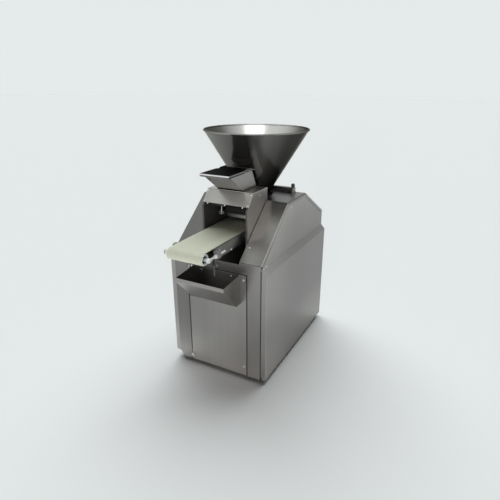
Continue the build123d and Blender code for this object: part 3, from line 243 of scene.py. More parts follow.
def satin(name, lean, colour=(0.262, 0.249, 0.240), rough=0.32, edge=0.0016, tray_shade=False, **curves):
    """Brushed sheet whose grain leans back from upright by an angle."""
    material, wire, shader = new_finish(name, metallic=1.0)
    point = places(wire)
    turn = (-lean, 0, 0)
    lines = soft_noise(wire, point, GRAIN, 3.0, turn)
    bands = soft_noise(wire, point, BANDS, 1.0, turn)
    clouds = soft_noise(wire, point, CLOUDS)
    sheen = cloudy(wire, bands * 0.5 + clouds * 0.5, colour, 0.90, 1.10)
    sheen = along_axes(wire, point, sheen, curves)
    # Painted shade: the faces inside the catch tray are a fifth darker.
    if tray_shade:
        sheen = shaded(wire, sheen, 1 - tray_inside(wire, point) * 0.2)
    plug(sheen, shader, "Base Color")
    plug(rough - 0.09 + lines * 0.10 + clouds * 0.08, shader, "Roughness")
    plug(bump(wire, lines, 0.10, MARK_DEPTH, rounded_edges(wire, edge)), shader, "Normal")
    return material


print("satin sheet ready")

# %% One sheet for each cover
UPRIGHT, LEVEL = 0.0, radians(90)
SLOPE, REAR_SLOPE = atan2(0.352, 0.284), atan2(0.350, -0.198)  # from the depth and the rise of each slope
# Painted light: these curves lay painted reflections and painted shade on the sheets. WALL_UP and FRONT_UP
# brighten the walls and the front near the floor and at the top; the others darken the back, the left of the
# front, the foot and outer edge of the slope; TOP_ACROSS paints a shadow line under the top cover's right
# edge and a highlight on the edge itself.
WALL_UP = [(0.03, 1.50), (0.10, 1.46), (0.18, 1.36), (0.25, 1.22), (0.33, 1.05), (0.40, 0.99), (0.50, 1.02),
           (0.80, 1.09), (0.95, 1.30), (1.06, 1.65)]
WALL_BACK = [(-0.355, 1.40), (-0.325, 1.22), (-0.27, 1.17), (-0.15, 1.05), (0.0, 0.88), (0.15, 0.80),
             (0.64, 0.80)]
FRONT_UP = [(0.03, 2.0), (0.09, 1.80), (0.15, 1.42), (0.22, 1.14), (0.29, 0.98), (0.36, 0.91), (0.43, 0.87),
            (0.58, 0.90), (0.72, 1.06)]
FRAME_ACROSS = [(-0.30, 0.79), (-0.20, 0.77), (0.20, 1.06), (0.30, 1.08)]
DOOR_ACROSS = [(-0.20, 0.80), (-0.10, 0.84), (0.06, 0.98), (0.20, 1.0)]
SLOPE_UP = [(0.79, 0.85), (0.85, 0.86), (0.92, 1.06), (1.0, 1.06), (1.07, 1.0)]
SLOPE_ACROSS = [(0.15, 1.0), (0.24, 1.0), (0.30, 0.86)]
TOP_ACROSS = [(-0.31, 1.0), (0.286, 1.0), (0.294, 0.50), (0.3018, 0.50), (0.304, 1.6), (0.31, 1.6)]
# Each sheet's tone is set lighter or darker for the light it gets: painted light on one and the same steel.
wall_sheet = satin("satin_wall_sheet", UPRIGHT, colour=(0.240, 0.228, 0.220), edge=0.0006,
                   z=WALL_UP, y=WALL_BACK)
frame_sheet = satin("satin_frame_sheet", UPRIGHT, colour=(0.295, 0.281, 0.272), z=FRONT_UP, x=FRAME_ACROSS)
tray_sheet = satin("satin_tray_sheet", UPRIGHT, colour=(0.345, 0.328, 0.317), tray_shade=True)
top_sheet = satin("satin_top_sheet", LEVEL, colour=(0.195, 0.187, 0.180), rough=0.36, x=TOP_ACROSS)
slope_sheet = satin("satin_slope_sheet", SLOPE, colour=(0.335, 0.317, 0.303), rough=0.25, edge=0.0005,
                    z=SLOPE_UP, x=SLOPE_ACROSS)
left_slope_sheet = satin("satin_left_slope_sheet", SLOPE, colour=(0.190, 0.181, 0.174), rough=0.25)
rear_sheet = satin("satin_rear_sheet", REAR_SLOPE)
door_sheet = satin("satin_door_sheet", UPRIGHT, colour=(0.370, 0.352, 0.340), z=FRONT_UP, x=DOOR_ACROSS)
print("sheets for the covers ready")

# %% [markdown]
# ## The polished dough hopper
#
# The cone is rolled from polished sheet, and a polished cone mirrors its room in long streaks from rim to
# neck, light and dark. Dark and bright cards round the machine could make them, but would change all its
# other surfaces too. So the streaks are painted reflections: the tone is a curve over the turn round the
# axis, with fine noise that hardly changes with height. The outside is a dark painted reflection, the inside
# a brighter one, and each has a curve of its own. Which side a point lies on follows from its distance to
# the axis.

# %% Polished cone
HOPPER_Y = 0.16015
CONE_FOOT, CONE_RIM, ROLLED_EDGE = 1.0783, 1.474, 0.004
NECK, RIM, WALL = 0.090, 0.330, 0.0024
STREAKS = (0.012, 0.5, 1.0)
INSIDE = [(0, 0.66), (0.10, 0.66), (0.125, 0.60), (0.15, 0.49), (0.17, 0.41), (0.19, 0.27), (0.21, 0.15),
          (0.24, 0.11), (0.27, 0.12), (0.34, 0.26), (0.5, 0.34), (0.68, 0.26), (0.76, 0.16), (0.86, 0.15),
          (0.90, 0.19), (0.93, 0.36), (0.965, 0.56), (1, 0.66)]
OUTSIDE = [(0, 0.06), (0.36, 0.50), (0.385, 0.46), (0.40, 0.40), (0.43, 0.26), (0.465, 0.17), (0.49, 0.13),
           (0.54, 0.12), (0.55, 0.09), (0.57, 0.12), (0.60, 0.18), (0.635, 0.11), (0.67, 0.058),
           (0.69, 0.050), (0.72, 0.066), (0.76, 0.088), (1, 0.06)]
OUTSIDE_UP = [(1.10, 0.25), (1.20, 0.52), (1.45, 1.0)]


def polished_cone():
    material, wire, shader = new_finish("polished_cone", Specular_Tint=(0.35, 0.34, 0.32, 1))
    x, y, z = axes(places(wire))
    y = y - HOPPER_Y
    angle = wire.maths("ARCTAN2", x, y * -1)
    middle = (z - CONE_FOOT) * ((RIM - NECK) / (CONE_RIM - CONE_FOOT)) + (NECK - WALL / 2)
    outside = (distance(x, y) > middle) * (z < CONE_RIM - ROLLED_EDGE)
    turn = angle / (2 * pi) + 0.5
    unrolled = wire.node("ShaderNodeCombineXYZ", None, {0: angle, 1: z, 2: outside})
    streaks = soft_noise(wire, unrolled, STREAKS, 3.0)
    # Painted reflections: the curves round the axis lay light and dark streaks, and OUTSIDE_UP lightens the
    # outside towards the rim.
    outer = curve(wire, turn, OUTSIDE) * curve(wire, z, OUTSIDE_UP)
    tone = outer * outside + curve(wire, turn, INSIDE) * (1 - outside)
    plug(tint(wire, tone, (0, 0, 0), (1.0, 0.97, 0.93)), shader, "Base Color")
    plug(1 - outside * 0.15, shader, "Metallic")
    plug(0.17 + streaks * 0.05 + (1 - outside) * 0.06, shader, "Roughness")
    plug(bump(wire, streaks, 0.02, 0.0003, rounded_edges(wire, 0.001)), shader, "Normal")
    return material


cone_polish = polished_cone()
print("cone finish:", cone_polish.name)

# %% [markdown]
# ## Plates, machined steel, fasteners and paint
#
# Most of the other pieces need only a colour, a roughness and small marks: long ones on ground plates, short
# ones on machined steel, dull spots on plated bolts, a fine orange skin on paint. One function covers them
# all. Curves paint a reflection across the polished plates, and paint shade on the bolts on the left and on
# the upper door hinge, as on the sheets.

# %% Plain metals and paints
SPOTS = (0.003, 0.003, 0.003)
LONG = (0.0015, 0.03, 0.05)
HAZE = (0.09, 0.09, 0.09)
# Painted light: PLATE_ACROSS lightens the polished plates towards the right as a painted reflection;
# BOLTS_ACROSS and HINGE_UP paint shade on the bolts on the left and on the upper door hinge.
PLATE_ACROSS = [(-0.155, 0.88), (0.0, 1.0), (0.155, 1.26)]
BOLTS_ACROSS = [(-0.15, 0.16), (-0.139, 0.22), (-0.133, 1.0), (0.15, 1.0)]
HINGE_UP = [(0.05, 1.0), (0.30, 1.0), (0.70, 0.30)]
DARK_GREY = (0.10, 0.105, 0.11)


def metal(name, colour, rough, mark, strength, metallic=1.0, edge=0.0008, **curves):
    """A plain finish with marks of one size."""
    material, wire, shader = new_finish(name, metallic=metallic)
    point = places(wire)
    marks = soft_noise(wire, point, mark, 3.0)
    haze = soft_noise(wire, point, HAZE)
    plug(along_axes(wire, point, cloudy(wire, haze, colour, 0.86, 1.12), curves), shader, "Base Color")
    plug(rough - 0.05 + marks * 0.07 + haze * 0.04, shader, "Roughness")
    plug(bump(wire, marks, strength, MARK_DEPTH, rounded_edges(wire, edge)), shader, "Normal")
    return material


def zinc_plate(name, **curves):
    return metal(name, (0.86, 0.87, 0.87), 0.30, SPOTS, 0.05, metallic=0.35, edge=0.0005, **curves)


plate_polish = metal("polished_plate", (0.50, 0.472, 0.447), 0.30, LONG, 0.03, edge=0.0004, x=PLATE_ACROSS)
machined = metal("machined_steel", (0.36, 0.36, 0.355), 0.34, (0.0012, 0.0012, 0.02), 0.10)
bright = metal("bright_plated_steel", (0.78, 0.78, 0.77), 0.16, SPOTS, 0.05, edge=0.0005)
zinc = zinc_plate("zinc_plated_steel")
bolt_zinc = zinc_plate("bolt_zinc", x=BOLTS_ACROSS)
hinge_zinc = zinc_plate("hinge_zinc", z=HINGE_UP)
dark_bar = metal("blackened_bar", (0.36, 0.335, 0.315), 0.36, (0.002, 0.002, 0.02), 0.10)
iron = metal("grey_iron", DARK_GREY, 0.55, SPOTS, 0.35, metallic=0.6, edge=0.0015)
frame_paint = metal("dark_frame_paint", DARK_GREY, 0.42, SPOTS, 0.25, metallic=0.0)
motor_paint = metal("motor_paint", (0.10, 0.13, 0.17), 0.40, SPOTS, 0.25, metallic=0.0)
print("plain metals and paints ready")

# %% [markdown]
# ## Pieces of the head with two finishes
#
# Some pieces are not the same all over. The lid of the flour hopper is black on top, a painted dark
# reflection of the cone, and its bare steel lip has painted shade on its side and its lower edge. The flour
# hopper has painted shade on its side, below its flange and on its ears, darkest round the slots of the hinge
# rod, and the side frames are satin outside and darker and duller inside the head, with painted shade there.
# They could be cut into several materials, but the CAD meshes stay as they are. Instead a mask tells the
# finishes apart. It is made from the place or the normal of a point, so no texture has to be painted.

# %% Lid
LID_TOP, LID_HEM, KNUCKLE_FRONT = 1.2742, 1.2662, -0.0925
LID_HAZE = (0.05, 0.05, 0.05)


def lid_with_painted_light():
    material, wire, shader = new_finish("lid_with_painted_light", Specular_IOR_Level=0.02)
    point = places(wire)
    y, z = axes(point)[1:]
    side = axes(normals(wire))[0] > 0.5
    knuckle = y > KNUCKLE_FRONT
    # Painted light: the top is black as a painted dark reflection of the cone, and the lip's side and its
    # lower edge are darker as painted shade.
    top = (z > LID_TOP) * (1 - knuckle)
    hem = z < LID_HEM
    haze = soft_noise(wire, point, LID_HAZE)
    black = tint(wire, haze, (0.001, 0.001, 0.001), (0.003, 0.003, 0.003))
    tone = (1 - side * 0.80) * (1 - hem * (0.82 + side * 0.14)) * (1 - knuckle * 0.25)
    steel = shaded(wire, tint(wire, haze, (0.76, 0.74, 0.73), (0.90, 0.88, 0.87)), tone)
    plug(tint(wire, top, steel, black), shader, "Base Color")
    plug(1 - top - knuckle * 0.9, shader, "Metallic")
    plug(0.20 + top * 0.35 + haze * 0.05, shader, "Roughness")
    return material


lid_finish = lid_with_painted_light()
print("lid finish:", lid_finish.name)

# %% Flour hopper
HOPPER_FLANGE, HOPPER_TOP = 1.166, 1.2592
SLOT_Y, SLOT_Z, SLOT_RISE = -0.12485, 1.268, atan2(10, 14)
SLOT_HALF_LONG, SLOT_HALF_WIDE = 0.012, 0.0045


def flour_sheet():
    """Ground sheet with painted shade: darker on its side, below the flange and on the ears, and darkest
    round the slots.
    """
    material, wire, shader = new_finish("flour_hopper_sheet", metallic=1.0)
    point = places(wire)
    side = axes(normals(wire))[0] > 0.3
    y, z = axes(point)[1:]
    back, rise = y - SLOT_Y, z - SLOT_Z
    along = abs(back * cos(SLOT_RISE) + rise * sin(SLOT_RISE))
    across = abs(rise * cos(SLOT_RISE) - back * sin(SLOT_RISE))
    slot = (along < SLOT_HALF_LONG) * (across < SLOT_HALF_WIDE)
    # Painted shade: the ears are darker and the rims of the slots darkest, and tone darkens the side and the
    # band below the flange.
    ear = (z > HOPPER_TOP) * (1 - slot * 0.75) * 0.52
    marks = soft_noise(wire, point, LONG, 3.0)
    haze = soft_noise(wire, point, HAZE)
    steel = tint(wire, haze, (0.288, 0.275, 0.265), (0.375, 0.358, 0.345))
    tone = (1 - side * 0.16) * (1 - (z < HOPPER_FLANGE) * 0.65)
    plug(shaded(wire, steel, tone * ((z < HOPPER_TOP) + ear)), shader, "Base Color")
    plug(0.21 + marks * 0.07 + haze * 0.04, shader, "Roughness")
    plug(bump(wire, marks, 0.03, MARK_DEPTH, rounded_edges(wire, 0.0008)), shader, "Normal")
    return material


hopper_sheet = flour_sheet()
print("flour hopper finish:", hopper_sheet.name)

# %% Side frames
FRAME_OUT = 0.1543
FRAME_MARKS = (0.03, 0.0012, 0.02)


def side_frame():
    material, wire, shader = new_finish("side_frame_steel")
    point = places(wire)
    # Painted shade: all but the outer faces, inside the head, are darker.
    inner = abs(axes(point)[0]) < FRAME_OUT
    marks = soft_noise(wire, point, FRAME_MARKS, 3.0)
    haze = soft_noise(wire, point, HAZE)
    outside = tint(wire, haze, (0.265, 0.251, 0.240), (0.345, 0.328, 0.313))
    inside = tint(wire, haze, (0.080, 0.077, 0.073), (0.130, 0.125, 0.120))
    plug(tint(wire, inner, outside, inside), shader, "Base Color")
    plug(1 - inner * 0.6, shader, "Metallic")
    plug(0.26 + inner * 0.2 + marks * 0.08, shader, "Roughness")
    plug(bump(wire, marks, 0.05, MARK_DEPTH, rounded_edges(wire, 0.001)), shader, "Normal")
    return material


frame_steel = side_frame()
print("side frame finish:", frame_steel.name)

# %% [markdown]
# ## Drum, roller and conveyor plates
#
# The same masks serve here. The drum is dark, with a bright band low at its front: the band is a painted
# highlight that fades towards the left end, the dark elsewhere is painted shade, and the angle round its axis
# fades one into the other. The idler roller's ends are recessed, with painted shade in the recess, and their
# distance to the axis tells them from the rim. The conveyor's plates carry bare blocks near the front, found
# by their place, and painted shade darkens the plates towards their front end.

# %% Drum
DRUM_Y, DRUM_Z, DRUM_HALF = -0.03585, 1.001, 0.082
BAND_START, BAND_FULL = radians(-12), radians(-34)
DRUM_ACROSS = [(-DRUM_HALF, 0.06), (0.0, 0.42), (DRUM_HALF, 1.0)]
DRUM_HAZE = (0.02, 0.05, 0.05)


def drum_with_painted_light():
    material, wire, shader = new_finish("drum_with_painted_light", Specular_IOR_Level=0.12)
    point = places(wire)
    x, y, z = axes(point)
    # Painted light: the band low at the front is a painted highlight that fades towards the left end, and the
    # dark colour round the rest of the drum is painted shade.
    angle = wire.maths("ARCTAN2", z - DRUM_Z, (y - DRUM_Y) * -1)
    band = wire.node("ShaderNodeMapRange", {"interpolation_type": "SMOOTHSTEP"},
                     {"Value": angle, "From Min": BAND_START, "From Max": BAND_FULL})
    haze = soft_noise(wire, point, DRUM_HAZE)
    painted_shade = tint(wire, haze, (0.010, 0.010, 0.010), (0.026, 0.026, 0.025))
    steel = tint(wire, haze, (0.84, 0.82, 0.80), (0.98, 0.96, 0.94))
    steel = shaded(wire, steel, curve(wire, x, DRUM_ACROSS))
    plug(tint(wire, band, painted_shade, steel), shader, "Base Color")
    plug(band * 0.3, shader, "Metallic")
    plug(0.42 + band * 0.13 + haze * 0.06, shader, "Roughness")
    return material


drum_finish = drum_with_painted_light()
print("drum finish:", drum_finish.name)

# %% Roller and conveyor plates
ROLLER_Y, ROLLER_Z, ROLLER_BORE = -0.63085, 0.896, 0.0249
PLATE_OUT, BLOCK_BACK = 0.1182, -0.525
PLATE_MARKS = (0.0012, 0.02, 0.0012)
PLATE_ALONG = [(-0.56, 0.45), (-0.52, 0.95), (-0.40, 1.0)]


def ringed_roller():
    material, wire, shader = new_finish("ringed_roller", metallic=0.35)
    point = places(wire)
    y, z = axes(point)[1:]
    # Painted shade: the recess at each end is nearly black.
    recess = distance(y - ROLLER_Y, z - ROLLER_Z) < ROLLER_BORE
    spots = soft_noise(wire, point, SPOTS)
    plate = tint(wire, spots, (0.80, 0.81, 0.81), (0.95, 0.96, 0.96))
    dark = tint(wire, spots, (0.008, 0.008, 0.008), (0.025, 0.024, 0.023))
    plug(tint(wire, recess, plate, dark), shader, "Base Color")
    plug(0.28 + spots * 0.10, shader, "Roughness")
    return material


def conveyor_side():
    material, wire, shader = new_finish("conveyor_side_steel")
    point = places(wire)
    x, y = axes(point)[:2]
    block = (abs(x) > PLATE_OUT) * (y < BLOCK_BACK)
    marks = soft_noise(wire, point, PLATE_MARKS, 3.0)
    haze = soft_noise(wire, point, HAZE)
    plate = tint(wire, haze, (0.200, 0.197, 0.194), (0.262, 0.259, 0.255))
    # Painted shade: the plates darken towards their front end.
    plate = shaded(wire, plate, curve(wire, y, PLATE_ALONG))
    bare = tint(wire, haze, (0.20, 0.20, 0.20), (0.29, 0.29, 0.29))
    plug(tint(wire, block, plate, bare), shader, "Base Color")
    plug(1 - block * 0.65, shader, "Metallic")
    plug(0.29 + marks * 0.07 + haze * 0.04, shader, "Roughness")
    plug(bump(wire, marks, 0.08, MARK_DEPTH, rounded_edges(wire, 0.0008)), shader, "Normal")
    return material


roller_finish = ringed_roller()
conveyor_steel = conveyor_side()
print("roller and conveyor plates ready")

# %% [markdown]
# ## Conveyor belting, rubber and plastic
#
# The belt is a pale coating over woven cloth, and the weave shows through as a very fine grid. Two crossed
# waves make the grid, and a broad noise gives dull patches, as from flour. Towards the drum, in the shade of
# the head, a curve darkens it. Rubber and plastic are plain, so the function for metals makes them too.

# %% Belting, rubber and plastic
WEAVE, WEAVE_DEPTH = 260.0, 0.0003
FLOUR_PATCHES = (0.06, 0.18, 0.06)
BELT_BACK = [(-0.70, 1.0), (-0.22, 1.0), (-0.12, 0.72), (-0.04, 0.42), (0.06, 0.35)]


def belting():
    material, wire, shader = new_finish("coated_belting", Specular_IOR_Level=0.35)
    point = places(wire)
    warp, weft = (wire.node("ShaderNodeTexWave", {"bands_direction": axis}, {"Vector": point, "Scale": WEAVE})
                  for axis in "XY")
    patches = soft_noise(wire, point, FLOUR_PATCHES, 3.0)
    cover = tint(wire, patches, (0.62, 0.628, 0.497), (0.74, 0.741, 0.608))
    plug(along_axes(wire, point, cover, {"y": BELT_BACK}), shader, "Base Color")
    plug(0.55 + patches * 0.15, shader, "Roughness")
    plug(bump(wire, warp * weft, 0.15, WEAVE_DEPTH), shader, "Normal")
    return material


belt_cover = belting()
black_rubber = metal("black_rubber", (0.018, 0.018, 0.018), 0.70, (0.001, 0.001, 0.001), 0.20, metallic=0.0)
black_plastic = metal("black_plastic", (0.040, 0.040, 0.041), 0.28, (0.002, 0.002, 0.002), 0.08, metallic=0.0)
print("belting, rubber and plastic ready")

# %% [markdown]
# ## Dressing the CAD nodes
#
# Each node keeps its shape and gets the finish of its real piece. One table says which, so nothing is
# missed: the script stops if a node has no finish.

# %% Finishes of the nodes
finishes = {
    wall_sheet: ["left_side_panel", "right_side_panel", "rear_panel"],
    frame_sheet: ["front_frame"],
    tray_sheet: ["catch_tray"],
    door_sheet: ["front_door"],
    top_sheet: ["top_cover", "hopper_seat", "conveyor_bed"],
    slope_sheet: ["right_slope_cover"],
    left_slope_sheet: ["left_slope_cover"],
    rear_sheet: ["rear_cover"],
    cone_polish: ["dough_hopper"],
    drum_finish: ["measuring_drum"],
    hopper_sheet: ["flour_hopper"],
    plate_polish: ["front_plate", "head_cover", "drive_roller", "flour_roller"],
    zinc: ["upper_lock", "lower_lock"],
    bolt_zinc: ["eye_bolts", "idler_shaft", "take_up_nuts"],
    hinge_zinc: ["door_hinges"],
    roller_finish: ["idler_roller"],
    dark_bar: ["hopper_arm", "hopper_post"],
    lid_finish: ["flour_lid"],
    frame_steel: ["left_side_frame", "right_side_frame"],
    machined: ["lid_hinge_rod", "main_piston", "measuring_piston", "knife", "crank", "lever_shaft",
               "drum_rod", "connecting_rod", "weight_stop", "conveyor_mounts"],
    conveyor_steel: ["conveyor_left_plate", "conveyor_right_plate", "belt_scraper"],
    bright: ["cover_screws", "door_fittings", "levelling_feet", "weight_spindle"],
    iron: ["chamber_block", "gearbox", "main_lever", "large_pulley", "motor_pulley"],
    frame_paint: ["base_plate"],
    motor_paint: ["motor", "conveyor_gearmotor"],
    belt_cover: ["conveyor_belt"],
    black_rubber: ["v_belt"],
    black_plastic: ["clamp_knob", "cable_gland"],
}
dressed = set()
for material, names in finishes.items():
    for name in names:
        data = nodes[name].data
        data.materials.clear()
        data.materials.append(material)
        dressed.add(name)
assert dressed == set(nodes), set(nodes) ^ dressed
print("nodes dressed:", len(dressed))

# %% [markdown]
# ## Tools for modelling by hand
#
# The next pieces are modelled the way one would with the mouse: add a primitive, go into edit mode, select
# some faces, use an operator. An operator acts on whatever is selected, so each piece starts with nothing
# selected, and faces are picked by their place and normal. A turned piece starts as a single point that is
# extruded along its outline and then spun round its axis.

# %% Starting, picking and closing a piece
UP, DOWN = Vector((0, 0, 1)), Vector((0, 0, -1))
RIGHT, LEFT = Vector((1, 0, 0)), Vector((-1, 0, 0))
BACK, FRONT = Vector((0, 1, 0)), Vector((0, -1, 0))
MERGE = 1e-6
GENTLE = radians(35)
SQUARE_ON = 0.9


def start(shape, name, **settings):
    """Adds a primitive on its own and opens it in edit mode."""
    bpy.ops.object.select_all(action="DESELECT")
    getattr(bpy.ops.mesh, f"primitive_{shape}_add")(**settings)
    piece = bpy.context.object
    piece.name = name
    bpy.ops.object.transform_apply(location=True, rotation=True, scale=True)
    bpy.ops.object.mode_set(mode="EDIT")
    bpy.ops.mesh.select_mode(type="VERT")
    bpy.ops.mesh.select_all(action="SELECT")
    return piece


def facing(way, within=lambda place: True):
    """A test for faces that look along a way and whose middle is in a region."""
    return lambda place, normal: normal.dot(way) > SQUARE_ON and within(place)


def pick_faces(piece, test):
    """Selects the faces whose middle and normal pass a test."""
    bpy.ops.mesh.select_mode(type="FACE")
    bpy.ops.mesh.select_all(action="DESELECT")
    mesh = bmesh.from_edit_mesh(piece.data)
    for face in mesh.faces:
        face.select_set(test(face.calc_center_median(), face.normal))
    bmesh.update_edit_mesh(piece.data)


def pull(piece, test, way):
    """Extrudes the picked faces along a way."""
    pick_faces(piece, test)
    bpy.ops.mesh.extrude_region_move(TRANSFORM_OT_translate={"value": way})


def soften(offset, segments=2):
    """Bevels the edges of what is selected."""
    bpy.ops.mesh.bevel(offset=offset, segments=segments, affect="EDGES")


def close(piece):
    """Leaves edit mode with clean outward faces and smooth shading between gentle facets."""
    bpy.ops.mesh.select_all(action="SELECT")
    bpy.ops.mesh.remove_doubles(threshold=MERGE)
    bpy.ops.mesh.normals_make_consistent(inside=False)
    bpy.ops.object.mode_set(mode="OBJECT")
    bpy.ops.object.shade_smooth_by_angle(angle=GENTLE)
    return piece


print("tools for one piece ready")

# %% Turning, copying, cutting and joining
def turned(name, outline, centre, along, out, steps):
    """Spins an outline of (along, out) points round the axis through a centre."""
    points = [Vector(centre) + along * a + out * r for a, r in outline]
    piece = start("plane", name, size=0.001)
    bpy.ops.mesh.merge(type="CENTER")
    bpy.ops.transform.translate(value=points[0])
    for here, there in zip(points, points[1:]):
        bpy.ops.mesh.extrude_region_move(TRANSFORM_OT_translate={"value": there - here})
    bpy.ops.mesh.select_all(action="SELECT")
    bpy.ops.mesh.spin(steps=steps, angle=2 * pi, center=centre, axis=along)
    return close(piece)


def copy_of(model, move):
    """A copy with its own mesh, moved by a matrix."""
    twin = model.copy()
    twin.data = model.data.copy()
    twin.data.transform(move)
    bpy.context.scene.collection.objects.link(twin)
    return twin


def cut_by(piece, tool):
    """Takes one closed shape out of another."""
    recess = piece.modifiers.new("recess", "BOOLEAN")
    recess.object = tool
    bpy.context.view_layer.objects.active = piece
    bpy.ops.object.modifier_apply(modifier=recess.name)
    bpy.data.objects.remove(tool)


def joined(pieces, name):
    bpy.ops.object.select_all(action="DESELECT")
    for piece in pieces:
        piece.select_set(True)
    bpy.context.view_layer.objects.active = pieces[0]
    bpy.ops.object.join()
    pieces[0].name = name
    return pieces[0]


def dress(piece, material, body):
    piece.data.materials.clear()
    piece.data.materials.append(material)
    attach(piece, body)
    print(piece.name, "rides on", body, "with", len(piece.data.polygons), "faces")


print("tools for several pieces ready")

# %% [markdown]
# ## Cross-head screws
#
# The covers, the rear panel and the conveyor's side plates are held by pan-head screws with a cross recess.
# In CAD they are plain buttons. One head is modelled here: a short cylinder with a bevelled crown, and a
# cross cut out of it by a Boolean. The cross starts as a small cube whose four sides are pulled out. Where
# the heads go is read from the CAD buttons: each separate solid of that node gives a place, and its widest
# flat side gives the axis. The thin solids among them are studs under the front plate, which get cap nuts.

# %% One screw head
HEAD, RISE = 0.0055, 0.0030
CROWN, CROSS, CROSS_ARM = 0.6 * RISE, 0.25 * HEAD, 0.35 * HEAD


def cross_head():
    head = start("cylinder", "screw_head", vertices=28, radius=HEAD, depth=RISE, location=(0, 0, RISE / 2))
    pick_faces(head, facing(UP))
    soften(CROWN, segments=4)
    close(head)
    cross = start("cube", "cross", size=CROSS, location=(0, 0, RISE))
    for side in (RIGHT, LEFT, BACK, FRONT):
        pull(cross, facing(side, lambda place: place.xy.length < CROSS), side * CROSS_ARM)
    close(cross)
    cut_by(head, cross)
    return head


head = cross_head()
print("screw head faces:", len(head.data.polygons))

# %% Places of the screws in CAD
def solids_of(name):
    """Middle, outward axis, widest flat area and corners of each separate solid in a CAD node."""
    mesh = bmesh.new()
    mesh.from_mesh(nodes[name].data)
    bmesh.ops.remove_doubles(mesh, verts=mesh.verts, dist=MERGE)
    mesh.faces.index_update()
    seen, found = set(), []
    for first in mesh.faces:
        if first.index in seen:
            continue
        seen.add(first.index)
        island = [first]
        for face in island:
            for near in (f for edge in face.edges for f in edge.link_faces if f.index not in seen):
                seen.add(near.index)
                island.append(near)
        flats = {}
        for face in island:
            key = tuple(round(c, 3) for c in face.normal)
            flats[key] = flats.get(key, 0) + face.calc_area()
        widest = max(flats, key=flats.get)
        corners = [vert.co.copy() for face in island for vert in face.verts]
        middle = sum(corners, Vector()) / len(corners)
        found.append((middle, Vector(widest).normalized() * -1, flats[widest], corners))
    mesh.free()
    return found


def upright_to(place, axis):
    """The move that takes a piece standing on the origin to a place, with its top along an axis."""
    return Matrix.Translation(place) @ axis.to_track_quat("Z", "Y").to_matrix().to_4x4()


buttons = solids_of("cover_screws")
print("screws and studs in CAD:", len(buttons))

# %% Cover screws, and the cap nuts under the front plate
NUT_LONG, NUT_FOOT, NUT_SHOULDER, NUT_DOME = 0.012, 0.004, 0.009, 0.0112
STUD_RADIUS, NUT_RADIUS, DOME_RADIUS = 0.0015, 0.0040, 0.0028
DOWN_PLATE = Vector((0, -0.058, -0.068)).normalized()
nut_outline = [(0, 0), (0, STUD_RADIUS), (NUT_FOOT, STUD_RADIUS), (NUT_FOOT, NUT_RADIUS),
               (NUT_SHOULDER, NUT_RADIUS), (NUT_DOME, DOME_RADIUS), (NUT_LONG, 0)]
nut = turned("cap_nut", nut_outline, (0, 0, 0), UP, RIGHT, steps=18)
heads = []
for middle, axis, flat, corners in buttons:
    if flat > HEAD ** 2:
        foot = middle + axis * min((corner - middle).dot(axis) for corner in corners)
        heads.append(copy_of(head, upright_to(foot, axis)))
    else:
        heads.append(copy_of(nut, upright_to(middle - DOWN_PLATE * NUT_LONG / 2, DOWN_PLATE)))
screws = joined(heads, "cover_screw_heads")
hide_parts("cover_screws")
dress(screws, bright, "cabinet")

# %% Screws of the conveyor's side plates
PLATE_X = 0.118
PLATE_SCREWS = ((-0.498, 0.907), (-0.374, 0.8695))
plate_heads = [copy_of(head, upright_to(Vector((way.x * PLATE_X, y, z)), way))
               for way in (LEFT, RIGHT) for y, z in PLATE_SCREWS]
dress(joined(plate_heads, "conveyor_plate_screws"), zinc, "cabinet")
bpy.data.objects.remove(head)
bpy.data.objects.remove(nut)

# %% [markdown]
# ## Rubber seals and dark strips in the seams
#
# Black rubber fills the gaps of the casing and stands in for the shade in them, so that they read as crisp
# dark lines. It could be dark stripes in the sheets' finish, but then the open door would have no seal. The
# door carries a T-shaped profile on its free side and its top: a stem in the gap and a flat head over it.
# Each of the two is one bar: a small cube at the corner, one face pulled down and one pulled along the top.
# Two flat dark strips lie on the casing itself, in its seams, as painted shade.

# %% Door seal
SEAL_FOOT, SEAL_END, SEAL_EDGE = 0.003, 0.020, 0.0004
door_low, door_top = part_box("front_door")


def corner_bar(name, wide, over, front, back):
    """A bar round the door's upper right corner that laps over the door by the given amount."""
    right, high = door_top[0] - over, door_top[2] - over
    bar = start("cube", name, size=1, scale=(wide, back - front, wide),
                location=(right + wide / 2, door_low[1] + (front + back) / 2, high + wide / 2))
    pull(bar, facing(DOWN), (0, 0, door_low[2] - high + SEAL_FOOT))
    pull(bar, facing(LEFT, lambda place: place.z > high), (door_low[0] - right + SEAL_END, 0, 0))
    pick_faces(bar, facing(FRONT))
    soften(SEAL_EDGE)
    return close(bar)


# The black seal round the door also stands in for the shade in its gap.
stem = corner_bar("seal_stem", wide=0.0026, over=0.0, front=0.0, back=0.007)
flat_head = corner_bar("seal_head", wide=0.0068, over=0.001, front=-0.0012, back=-0.0001)
dress(joined([stem, flat_head], "door_seal"), black_rubber, "door")

# %% Dark strips for the shade in the casing's seams
BEAD_THICK, BEAD_MIDDLE, BEAD_EDGE = 0.0009, 0.0005, 0.0003


def seam_shade_strip(name, left, right, low, high):
    """A flat dark strip on the casing's front, for the shade in a seam, pulled up from a short block."""
    wide = right - left
    strip = start("cube", name, size=1, scale=(wide, BEAD_THICK, wide),
                  location=((left + right) / 2, door_low[1] - BEAD_MIDDLE, low + wide / 2))
    pull(strip, facing(UP), (0, 0, high - low - wide))
    pick_faces(strip, facing(FRONT))
    soften(BEAD_EDGE)
    return close(strip)


